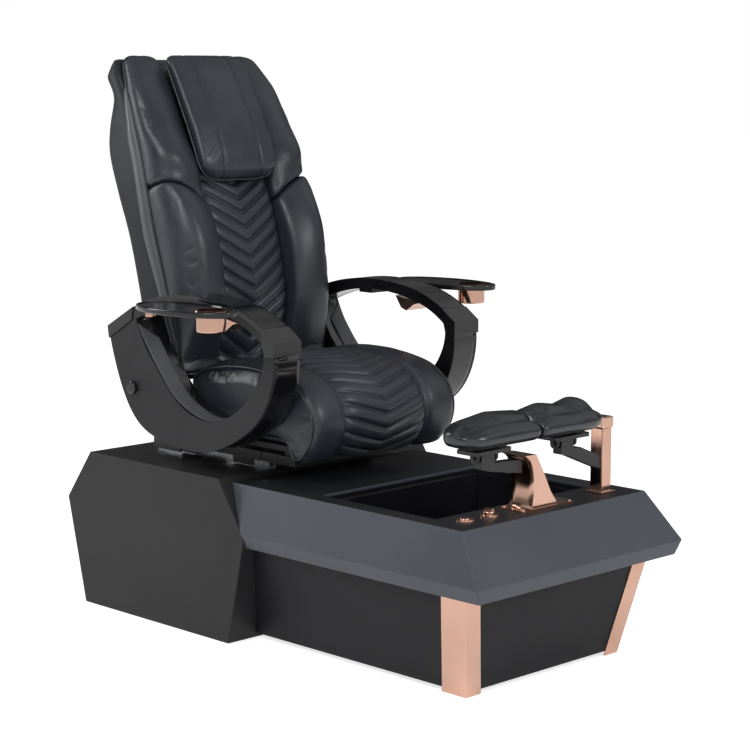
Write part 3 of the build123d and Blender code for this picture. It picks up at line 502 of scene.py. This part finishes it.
def dress_cad_nodes():
    """Materials for every CAD node, and soft edges on the hard shells."""
    widths = {name: width for width, names in SOFT_EDGES.items() for name in names}
    for name, node in NODES.items():
        for slot in node.material_slots:
            slot.material = MATERIALS[slot.material.name.split(".")[0]]
        if name in widths:
            node.modifiers.new("weld", "WELD").merge_threshold = WELD_DISTANCE
            edge = node.modifiers.new("soft_edges", "BEVEL")
            edge.width = widths[name]
            edge.segments = 2
            edge.limit_method = "ANGLE"
            edge.angle_limit = math.radians(SHARP_ANGLE)
            edge.harden_normals = True


# ---------------------------------------------------------------- backrest
def split_height(y):
    """Height of the seam between bolster and wing: it climbs towards the outside."""
    share = np.clip((np.abs(y) - SPLIT_INNER) / (SPLIT_OUTER - SPLIT_INNER), 0, 1)
    return SPLIT_LOW + SPLIT_RISE * share ** 0.7


def shoulder(h):
    """Half-width of the back at a height: full width, drawn in at the top."""
    return np.interp(h, *SHOULDER)


def lobe_section(h, side, count=64):
    """Closed section of a side bolster at one height, as (distance in front, y)."""
    ds, db, dp = depth_of("seam", h), depth_of("bolster", h), depth_of("panel", h)
    w = float(shoulder(h))
    t = max(db - ds, 0.012)
    inner = min(dp, db - 0.004)
    pts = [(ds - 0.002, w - 0.001), (ds + 0.34 * t, w + 0.006), (ds + 0.72 * t, w + 0.001),
           (ds + 0.97 * t, w - 0.018), (ds + 1.05 * t, w - 0.048), (ds + 1.00 * t, w - 0.084),
           (ds + 0.62 * t + 0.38 * (inner - ds), 0.128), (inner - 0.010, 0.1205),
           (min(inner, ds + t) - 0.045, 0.1215), (ds - 0.012, 0.150), (ds - 0.014, 0.215)]
    loop = closed_curve(pts, count)
    return loop[:, 0], side * loop[:, 1]


def lobe(name, side, low, high, round_low, round_high, rows=110):
    """Stuffed roll between two heights, each a function of y, with rounded ends."""
    shares = np.linspace(0, 1, rows)
    out = []
    for share in shares:
        h_mid = (1 - share) * float(low(0.185)) + share * float(high(0.185))
        d, y = lobe_section(h_mid, side)
        h = (1 - share) * low(y) + share * high(y)
        cd, cy = d.mean(), y.mean()
        span = float(high(0.185)) - float(low(0.185))
        shrink = 0.0
        for gap, radius in ((share * span, round_low), ((1 - share) * span, round_high)):
            if gap < radius:
                shrink = max(shrink, radius * (1 - math.sqrt(max(0.0, 1 - (1 - gap / radius) ** 2))))
        reach = np.hypot(d - cd, y - cy)
        pull = 1 - np.minimum(shrink / np.maximum(reach, 1e-6), 0.96)
        out.append(back_place(h, cd + (d - cd) * pull, cy + (y - cy) * pull))
    return grid_mesh(name, np.array(out), wrap=True, caps=True)


def near_seam(co):
    """Points on the piping seam and on the inner seam of a bolster stay where they are."""
    h, d = back_frame(co)
    return (d < depth_of("seam", h) + 0.006) | (np.abs(co[:, 1]) < 0.1235)


def back_bolsters():
    """On each side a bolster below the split seam and a wing above it."""
    for side, word in ((-1, "right"), (1, "left")):
        lower = lobe(f"{word}_back_bolster", side, lambda y: 0 * np.abs(y) - 0.036,
                     lambda y: split_height(y) - 0.0005, 0.012, 0.011)
        soften(lower, near_seam)
        finish_piece(lower, "backrest", "leather", MATERIALS["leather"], "back_cushion")
        wing = lobe(f"{word}_back_wing", side, lambda y: split_height(y) + 0.001,
                    lambda y: 0 * np.abs(y) + 0.832, 0.011, 0.026)
        soften(wing, near_seam, cap=0.008)
        finish_piece(wing, "backrest", "leather", MATERIALS["leather"])


def quilted_panel(name, place, half, start, end, pitch, slope, puff, thick, rows_per=14, cols=72):
    """Panel quilted in V channels. place(run, y, out) gives a point; the V points towards start."""
    y = np.linspace(-half, half, cols)
    count = int((end - start + slope * half) / pitch * rows_per)
    run0 = np.linspace(start - slope * half, end, count)
    out = []
    for r in run0:
        f = (r / pitch) % 1.0
        bulge = puff * (1 - abs(2 * f - 1) ** 3.2)
        soft_v = np.sqrt(y ** 2 + 0.005 ** 2)
        edge = 1 - (np.abs(y) / half) ** 10
        out.append(place(r + slope * soft_v, y, bulge * edge - 0.004 * (1 - edge)))
    panel = grid_mesh(name, np.array(out))
    for plane_run, keep_above in ((start, True), (end, False)):
        middle = np.array([0.0])
        low = place(np.array([plane_run]), middle, middle)[0]
        above = place(np.array([plane_run + 0.004]), middle, middle)[0]
        ahead = Vector(above - low).normalized()
        bm = bmesh.new()
        bm.from_mesh(panel.data)
        bmesh.ops.bisect_plane(bm, geom=bm.verts[:] + bm.edges[:] + bm.faces[:], plane_co=Vector(low),
                               plane_no=ahead, clear_inner=keep_above, clear_outer=not keep_above)
        bm.to_mesh(panel.data)
        bm.free()
    mod = panel.modifiers.new("thick", "SOLIDIFY")
    mod.thickness = thick
    mod.offset = -1
    apply_modifiers(panel)
    return panel


def back_panel():
    """Chevron panel between the bolsters."""
    def place(run, y, out):
        return back_place(run, depth_of("panel", run) - 0.012 + out, y)

    panel = quilted_panel("back_chevron_panel", place, PANEL_HALF, start=-0.030, end=0.50, pitch=0.0405,
                          slope=0.60, puff=0.012, thick=0.012)
    finish_piece(panel, "backrest", "leather", MATERIALS["leather"])


def headrest_panel():
    """Plain leather between the wings, behind the pillow, rolled over the top of the back."""
    rows = []
    for share in np.linspace(0, 1, 60):
        h = 0.44 + 0.362 * min(1.0, share / 0.8)
        d = float(depth_of("panel", h)) - 0.022
        if share > 0.8:
            turn = (share - 0.8) / 0.2
            h += 0.010 * math.sin(math.pi * min(turn * 1.4, 1.0)) * (1 - turn)
            d = d * (1 - turn) - 0.035 * turn
        y = np.linspace(-0.150, 0.150, 60)
        rows.append(back_place(h, d + 0.004 * np.cos(y / 0.150 * math.pi / 2), y))
    panel = grid_mesh("headrest_backing", np.array(rows))
    mod = panel.modifiers.new("thick", "SOLIDIFY")
    mod.thickness = 0.006
    apply_modifiers(panel)
    finish_piece(panel, "backrest", "leather", MATERIALS["leather"])


def rear_shell():
    """Leather-covered shell behind the piping: both sides and the rear, round at its corners."""
    heights = np.concatenate([np.linspace(-0.028, 0.780, 114), np.linspace(0.784, 0.822, 16)])
    rows = []
    for h in heights:
        ds, dr = float(depth_of("seam", h)) - 0.003, float(depth_of("rear", h))
        w = float(np.interp(h, [0, 0.79, 0.825], [0.2475, 0.2460, 0.2300]))
        top = max(0.0, (h - 0.770) / 0.055)
        dr = min(dr, ds - 0.006)
        radius = min(0.034, 0.45 * (ds - dr)) * (1 - 0.2 * top)
        lip = min(0.012, 0.3 * (ds - dr))
        half = [(ds - 0.006, float(shoulder(h)) - 0.030), (ds - 0.002, w - 0.010), (ds - lip, w),
                (ds - 0.35 * (ds - dr) - lip, w + 0.0015), (dr + radius, w - 0.001)]
        for a in (20, 45, 70, 90):
            t = math.radians(a)
            half.append((dr + radius * (1 - math.sin(t)), w - 0.001 - radius * (1 - math.cos(t))))
        half.append((dr, 0.12))
        line = half + [(dr, 0.0)] + [(d, -y) for d, y in reversed(half)]
        section = even(catmull(line, 10), 150)
        rows.append(back_place(h, section[:, 0], section[:, 1]))
    shell = grid_mesh("rear_shell_cover", np.array(rows))
    mod = shell.modifiers.new("thick", "SOLIDIFY")
    mod.thickness = 0.005
    mod.offset = 1 if outward_is_inside(shell) else -1
    apply_modifiers(shell)
    finish_piece(shell, "backrest", "back_shell", MATERIALS["back_shell"], "rear_cover")


def top_roll():
    """Stuffed roll along the top of the back, which closes the shell behind the wings and pillow."""
    half_width, blunt, radius, middle_h, middle_d, half_depth = 0.214, 0.020, 0.020, 0.801, -0.012, 0.030
    turn = np.linspace(0, 2 * math.pi, 40, endpoint=False)
    rows = []
    for y in np.linspace(-half_width, half_width, 120):
        edge = half_width - abs(y)
        round_end = math.sqrt(max(0.03, 1 - (1 - edge / blunt) ** 2)) if edge < blunt else 1.0
        rows.append(back_place(middle_h + radius * round_end * np.sin(turn),
                               middle_d + half_depth * round_end * np.cos(turn), y))
    roll = grid_mesh("back_top_roll", np.array(rows), wrap=True, caps=True)
    finish_piece(roll, "backrest", "leather", MATERIALS["leather"])


def outward_is_inside(obj):
    """True where the open shell's faces look towards its own middle."""
    co, no = coords(obj), normals(obj)
    return float(((co - co.mean(axis=0)) * no).sum()) < 0


def side_gusset():
    """Strip between the piping and the shell, a soft rounded fold in lighter leather that is painted
    highlight, and the piping itself.
    """
    for side, word in ((-1, "right"), (1, "left")):
        rows = []
        for h in np.linspace(0.004, 0.800, 100):
            ds = float(depth_of("seam", h))
            width = float(np.interp(h, *GUSSET_WIDTH))
            w = float(shoulder(h))
            rise = 0.0095 * width / 0.042
            pts = [(ds - 0.002, w - 0.002), (ds - 0.15 * width, w + 0.6 * rise),
                   (ds - 0.45 * width, w + rise), (ds - 0.80 * width, w + 0.7 * rise),
                   (ds - width, w - 0.002), (ds - 0.8 * width, w - 0.010), (ds - 0.2 * width, w - 0.010)]
            loop = closed_curve(pts, 28)
            rows.append(back_place(h, loop[:, 0], side * loop[:, 1]))
        strip = grid_mesh(f"{word}_back_gusset", np.array(rows), wrap=True, caps=True)
        # the strip's lighter leather is painted highlight on the fold
        finish_piece(strip, "backrest", "leather", PAINTED_HIGHLIGHT_GUSSET)
        line = []
        for h in np.linspace(0.002, 0.812, 40):
            line.append(back_place(h, depth_of("seam", h) + 0.001, side * (float(shoulder(h)) + 0.0025)))
        cord = tube(f"{word}_back_piping", np.array(line), 0.0034, 200)
        finish_piece(cord, "backrest", "leather", PIPING)


def pillow_outline(h):
    """Half-width of the pillow at a height, round at its corners."""
    w = PILLOW_HALF
    for q, r in ((h - PILLOW_LOW, 0.052), (PILLOW_HIGH - h, 0.030)):
        if q < r:
            w = min(w, PILLOW_HALF - r * (1 - math.sqrt(max(0.0, 1 - (1 - q / r) ** 2))))
    return w


def head_pillow():
    """Pillow with a pinned rim, two sewn channels and piping round its lower sides."""
    rows = []
    for h in np.linspace(PILLOW_LOW + 0.0005, PILLOW_HIGH - 0.0005, 90):
        w = pillow_outline(h)
        front, back = float(depth_of("pillow", h)) - 0.006, float(depth_of("pillow_back", h)) + 0.004
        back = min(back, front - 0.018)
        for q in (h - PILLOW_LOW, PILLOW_HIGH - h):
            if q < 0.022:
                shrink = 0.5 * (front - back) * (1 - math.sqrt(max(0.0, 1 - (1 - q / 0.022) ** 2)))
                front -= 0.9 * shrink
                back += 0.6 * shrink
        middle, half = 0.5 * (front + back), 0.5 * (front - back)
        a = np.linspace(0, 2 * math.pi, 90, endpoint=False)
        y = w * np.sign(np.cos(a)) * np.abs(np.cos(a)) ** 0.45
        d = middle + half * np.sign(np.sin(a)) * np.abs(np.sin(a)) ** 0.75
        rows.append(back_place(h, d, y))
    pillow = grid_mesh("head_pillow_cover", np.array(rows), wrap=True, caps=True)

    def rim_held(co):
        h, d = back_frame(co)
        return ((np.abs(co[:, 1]) > PILLOW_HALF - 0.010) | (h < 0.474) | (h > 0.795)
                | (d < 0.5 * (depth_of("pillow", h) + depth_of("pillow_back", h))))

    soften(pillow, rim_held, voxel=0.0045, cap=0.006)
    sink(pillow, lambda co: groove(np.abs(co[:, 1]) - 0.064, 0.0028, 0.0032))
    finish_piece(pillow, "backrest", "leather", MATERIALS["leather"], "head_pillow")
    rim = []
    for h in np.linspace(0.790, 0.460, 26):
        rim.append((h, pillow_outline(h) + 0.001))
    for y in np.linspace(0.075, -0.075, 9)[1:-1]:
        rim.append((0.4535, y))
    for h in np.linspace(0.460, 0.790, 26):
        rim.append((h, -pillow_outline(h) - 0.001))
    line = [back_place(h, 0.35 * depth_of("pillow", h) + 0.65 * depth_of("pillow_back", h), y)
            for h, y in rim]
    cord = tube("head_pillow_piping", np.array(line), 0.0030, 260)
    finish_piece(cord, "backrest", "leather", PIPING)


# ---------------------------------------------------------------- seat
def seat_loop(count=220):
    crown = even(catmull(np.array(SEAT_CROWN, float) * MM), 150)
    under = even(np.array(SEAT_UNDER, float) * MM, 70)
    loop = np.vstack([crown, under])
    return even(np.vstack([loop, loop[:1]]), count + 1)[:-1]


def loop_normals(loop):
    ahead = np.roll(loop, -1, axis=0) - np.roll(loop, 1, axis=0)
    ahead /= np.linalg.norm(ahead, axis=1)[:, None]
    out = np.stack([-ahead[:, 1], ahead[:, 0]], axis=1)
    for _ in range(10):
        out = 0.25 * np.roll(out, 1, axis=0) + 0.5 * out + 0.25 * np.roll(out, -1, axis=0)
    return out / np.linalg.norm(out, axis=1)[:, None]


def seat_body():
    """Seat cushion, round at both sides and dished under its chevron panel."""
    loop = seat_loop()
    out = loop_normals(loop)
    radius = SEAT_EDGE_RADIUS
    stations = np.concatenate([-SEAT_HALF + radius * (1 - np.cos(np.linspace(0, math.pi / 2, 9))),
                               np.linspace(-SEAT_HALF + radius, SEAT_HALF - radius, 60)[1:-1],
                               SEAT_HALF - radius * (1 - np.sin(np.linspace(0, math.pi / 2, 9)))])
    rows = []
    for y in stations:
        over = max(0.0, (abs(y) - (SEAT_HALF - radius)) / radius)
        inset = radius * (1 - math.sqrt(max(0.0, 1 - over ** 2)))
        crest = 0.004 * math.exp(-((abs(y) - 0.195) / 0.04) ** 2)
        dish = -0.014 / (1 + math.exp((abs(y) - SEAT_PANEL_HALF + 0.004) / 0.004))
        shift = crest + dish - inset - 0.004
        p = loop + out * shift
        rows.append(np.stack([p[:, 0], np.full(len(p), y), p[:, 1]], axis=1))
    body = grid_mesh("seat_cushion_cover", np.array(rows), wrap=True, caps=True)

    def held(co):
        return (np.abs(co[:, 1]) < SEAT_PANEL_HALF + 0.004) | (co[:, 2] < 0.50) & (co[:, 0] < 0.02)

    soften(body, held, relax=8)
    sink(body, lambda co: groove(np.abs(co[:, 1]) - SEAT_PANEL_HALF - 0.002, 0.004, 0.003))
    finish_piece(body, "carriage", "leather", MATERIALS["leather"], "seat_cushion")


def seat_panel():
    """Chevron panel over the crown of the seat."""
    crown = even(catmull(np.array(SEAT_CROWN, float) * MM), 400)
    out = np.stack([-(np.gradient(crown[:, 1])), np.gradient(crown[:, 0])], axis=1)
    out /= np.linalg.norm(out, axis=1)[:, None]
    run = np.concatenate([[0], np.cumsum(np.linalg.norm(np.diff(crown, axis=0), axis=1))])
    total = run[-1]

    def place(back_run, y, rise):
        at = np.clip(total - back_run, 0, total)
        half_fall = 0.006 * (np.abs(y) / SEAT_PANEL_HALF) ** 6
        x = np.interp(at, run, crown[:, 0]) + np.interp(at, run, out[:, 0]) * (rise - 0.008 - half_fall)
        z = np.interp(at, run, crown[:, 1]) + np.interp(at, run, out[:, 1]) * (rise - 0.008 - half_fall)
        return np.stack(np.broadcast_arrays(x, y, z), axis=-1)

    panel = quilted_panel("seat_chevron_panel", place, SEAT_PANEL_HALF, start=0.004, end=total - 0.02,
                          pitch=0.040, slope=0.34, puff=0.010, thick=0.010, cols=84)
    finish_piece(panel, "carriage", "leather", MATERIALS["leather"])


def seat_piping():
    """Piping along both sides of the seat cushion."""
    loop = seat_loop()
    out = loop_normals(loop)
    chosen = loop[4:150] - out[4:150] * 0.016
    for side, word in ((-1, "right"), (1, "left")):
        across = np.full(len(chosen), side * (SEAT_HALF - 0.004))
        line = np.stack([chosen[:, 0], across, chosen[:, 1]], axis=1)
        cord = tube(f"{word}_seat_piping", line[::4], 0.0034, 150)
        finish_piece(cord, "carriage", "leather", PIPING)


# ---------------------------------------------------------------- arms
WINDOW_LOWER = [(-452, 785), (-430, 740), (-360, 653), (-290, 588), (-185, 552), (-90, 570), (-10, 630),
                (36, 700)]


def ring_liners():
    """Grained liner laid along the lower inside of each arm ring."""
    line = even(catmull(np.array(WINDOW_LOWER, float) * MM), 90)
    ahead = np.gradient(line, axis=0)
    ahead /= np.linalg.norm(ahead, axis=1)[:, None]
    inward = np.stack([-ahead[:, 1], ahead[:, 0]], axis=1)
    for side, word in ((-1, "right"), (1, "left")):
        rows = []
        for i in range(2, 86):
            p, n = line[i], inward[i]
            fade = min(1.0, (i - 2) / 6, (85 - i) / 6)
            far = 0.3555
            near = far - 0.006 - 0.050 * fade
            middle = 0.5 * (far + near)
            loop = [(0.0004, far), (0.0030, far - 0.002), (0.0034, middle), (0.0030, near + 0.002),
                    (0.0004, near), (-0.0004, middle)]
            rows.append([(p[0] + n[0] * a, side * b, p[1] + n[1] * a) for a, b in loop])
        liner = grid_mesh(f"{word}_ring_liner", np.array(rows), wrap=True, caps=True)
        edge = liner.modifiers.new("soft", "SUBSURF")
        edge.levels = 1
        apply_modifiers(liner)
        finish_piece(liner, f"{word}_arm", "arm_matte", LINER)


# ---------------------------------------------------------------- footrest pads
PAD_SECTION = [(-0.050, 0.569), (-0.061, 0.590), (-0.053, 0.622), (-0.026, 0.6395), (0.004, 0.6350),
               (0.026, 0.6190), (0.044, 0.6130), (0.059, 0.6020), (0.061, 0.588), (0.048, 0.572),
               (0.010, 0.5655), (-0.025, 0.5655)]
PAD_TOPS = {"right": ([0, 0.12, 0.3, 0.55, 0.8, 1], [0.614, 0.628, 0.632, 0.641, 0.637, 0.633]),
            "left": ([0, 0.12, 0.28, 0.5, 0.75, 1], [0.620, 0.640, 0.644, 0.634, 0.642, 0.631])}


def drawn_in(gap, radius):
    """Share by which a round end has drawn in, from 1 at its tip to 0 one radius away."""
    return 1 - math.sqrt(max(0.0, 1 - (1 - gap / radius) ** 2)) if gap < radius else 0.0


def footrest_pads():
    """Two foot pads: domed at the rear, fluted behind a front lip, with a round outer end."""
    section = closed_curve(PAD_SECTION, 72)
    foot_line, highest, pinned_below = 0.598, 0.6395, 0.596
    outer_round, inner_round = 0.062, 0.014
    for word, side in (("right", -1), ("left", 1)):
        low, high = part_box(f"{word}_footrest_pad")
        outer, inner = (low.y + 0.006, high.y - 0.002) if side < 0 else (high.y - 0.006, low.y + 0.002)
        length = abs(inner - outer)
        middle_x = (low.x + high.x) / 2
        rows = []
        for share in np.linspace(0, 1, 90):
            run, tail = share * length, (1 - share) * length
            round_end = drawn_in(run, outer_round)
            blunt = drawn_in(tail, inner_round)
            top = float(np.interp(share, *PAD_TOPS[word]))
            swell = (top - foot_line) / (highest - foot_line) * (1 - 0.55 * round_end - 0.2 * blunt)
            x = middle_x + section[:, 0] * (1 - 0.74 * round_end - 0.10 * blunt)
            rise = section[:, 1] - foot_line
            z = foot_line + np.where(rise > 0, rise * swell, rise * (1 - 0.7 * round_end - 0.15 * blunt))
            rows.append(np.stack([x, np.full(len(x), outer - side * run), z], axis=1))
        pad = grid_mesh(f"{word}_footrest_cover", np.array(rows), wrap=True, caps=True)
        soften(pad, lambda co: co[:, 2] < pinned_below, voxel=0.0042, relax=4, cap=0.003)
        finish_piece(pad, f"{word}_footrest", "pad_skin", MATERIALS["pad_skin"], f"{word}_footrest_pad")


# ---------------------------------------------------------------- stage
def floor():
    """Plain pale floor, which shines a little more for the camera than for the object."""
    bpy.ops.mesh.primitive_plane_add(size=40, location=(0, 0, -0.001))
    plane = bpy.context.object
    plane.name = "studio_floor"
    mat, tree, node = shader("pale_floor", Roughness=0.8, Emission_Color=(1, 1, 1, 1))
    path = tree.nodes.new("ShaderNodeLightPath")
    shine = spread(tree, path.outputs["Is Camera Ray"], 0.38, 0.74, 0.0, 1.0)
    tree.links.new(shine, node.inputs["Emission Strength"])
    tree.links.new(ramp(tree, noise(tree, 0.8, 2), tone(0.80, 0.80, 0.80), tone(0.83, 0.83, 0.83)),
                   node.inputs["Base Color"])
    plane.data.materials.append(mat)


def area_light(name, place, target, size, power, color=(1, 1, 1)):
    data = bpy.data.lights.new(name, "AREA")
    data.shape = "RECTANGLE"
    data.size, data.size_y = size
    data.energy = power
    data.color = color
    obj = bpy.data.objects.new(name, data)
    bpy.context.scene.collection.objects.link(obj)
    obj.location = place
    obj.rotation_euler = (Vector(target) - Vector(place)).to_track_quat("-Z", "Y").to_euler()


def studio():
    """White surround for the camera; softer light from the front and above for everything else."""
    world = bpy.data.worlds.new("studio")
    bpy.context.scene.world = world
    world.use_nodes = True
    tree = world.node_tree
    seen = tree.nodes["Background"]
    seen.inputs["Color"].default_value = (1, 1, 1, 1)
    seen.inputs["Strength"].default_value = 1.0
    light = tree.nodes.new("ShaderNodeBackground")
    place = tree.nodes.new("ShaderNodeTexCoord")
    dot = tree.nodes.new("ShaderNodeVectorMath")
    dot.operation = "DOT_PRODUCT"
    dot.inputs[1].default_value = (0.80, -0.30, 0.52)
    tree.links.new(place.outputs["Generated"], dot.inputs[0])
    patches = tree.nodes.new("ShaderNodeTexNoise")
    patches.inputs["Scale"].default_value = 2.1
    patches.inputs["Detail"].default_value = 1.0
    tree.links.new(place.outputs["Generated"], patches.inputs["Vector"])
    both = tree.nodes.new("ShaderNodeMath")
    both.operation = "MULTIPLY"
    tree.links.new(spread(tree, dot.outputs["Value"], 0.10, 0.95, -0.35, 1.0), both.inputs[0])
    tree.links.new(spread(tree, patches.outputs["Fac"], 0.25, 1.75, 0.42, 0.58), both.inputs[1])
    tree.links.new(both.outputs["Value"], light.inputs["Strength"])
    path = tree.nodes.new("ShaderNodeLightPath")
    mix = tree.nodes.new("ShaderNodeMixShader")
    tree.links.new(path.outputs["Is Camera Ray"], mix.inputs["Fac"])
    tree.links.new(light.outputs["Background"], mix.inputs[1])
    tree.links.new(seen.outputs["Background"], mix.inputs[2])
    tree.links.new(mix.outputs["Shader"], tree.nodes["World Output"].inputs["Surface"])
    area_light("key", (0.6, -3.0, 3.2), (0, 0, 0.8), (1.4, 1.0), 42)
    area_light("front_fill", (3.6, 0.8, 2.6), (0, 0, 0.7), (1.2, 1.6), 38)
    area_light("rear_rim", (-2.8, -1.8, 2.0), (-0.5, 0, 0.95), (0.7, 2.0), 30)


def camera():
    """Camera at the front right, looking a little down."""
    data = bpy.data.cameras.new("camera")
    data.lens = CAMERA_LENS
    data.sensor_width = 36
    data.clip_end = 60
    obj = bpy.data.objects.new("camera", data)
    bpy.context.scene.collection.objects.link(obj)
    az, el = math.radians(CAMERA_AZIMUTH), math.radians(CAMERA_DOWN)
    ahead = Vector((-math.sin(az) * math.cos(el), math.cos(az) * math.cos(el), -math.sin(el)))
    obj.location = CAMERA_PLACE
    obj.rotation_euler = ahead.to_track_quat("-Z", "Y").to_euler()
    bpy.context.scene.camera = obj
    bpy.context.scene.view_settings.view_transform = "Standard"


camera()
floor()
studio()
dress_cad_nodes()
back_bolsters()
back_panel()
headrest_panel()
rear_shell()
top_roll()
side_gusset()
head_pillow()
seat_body()
seat_panel()
seat_piping()
ring_liners()
footrest_pads()
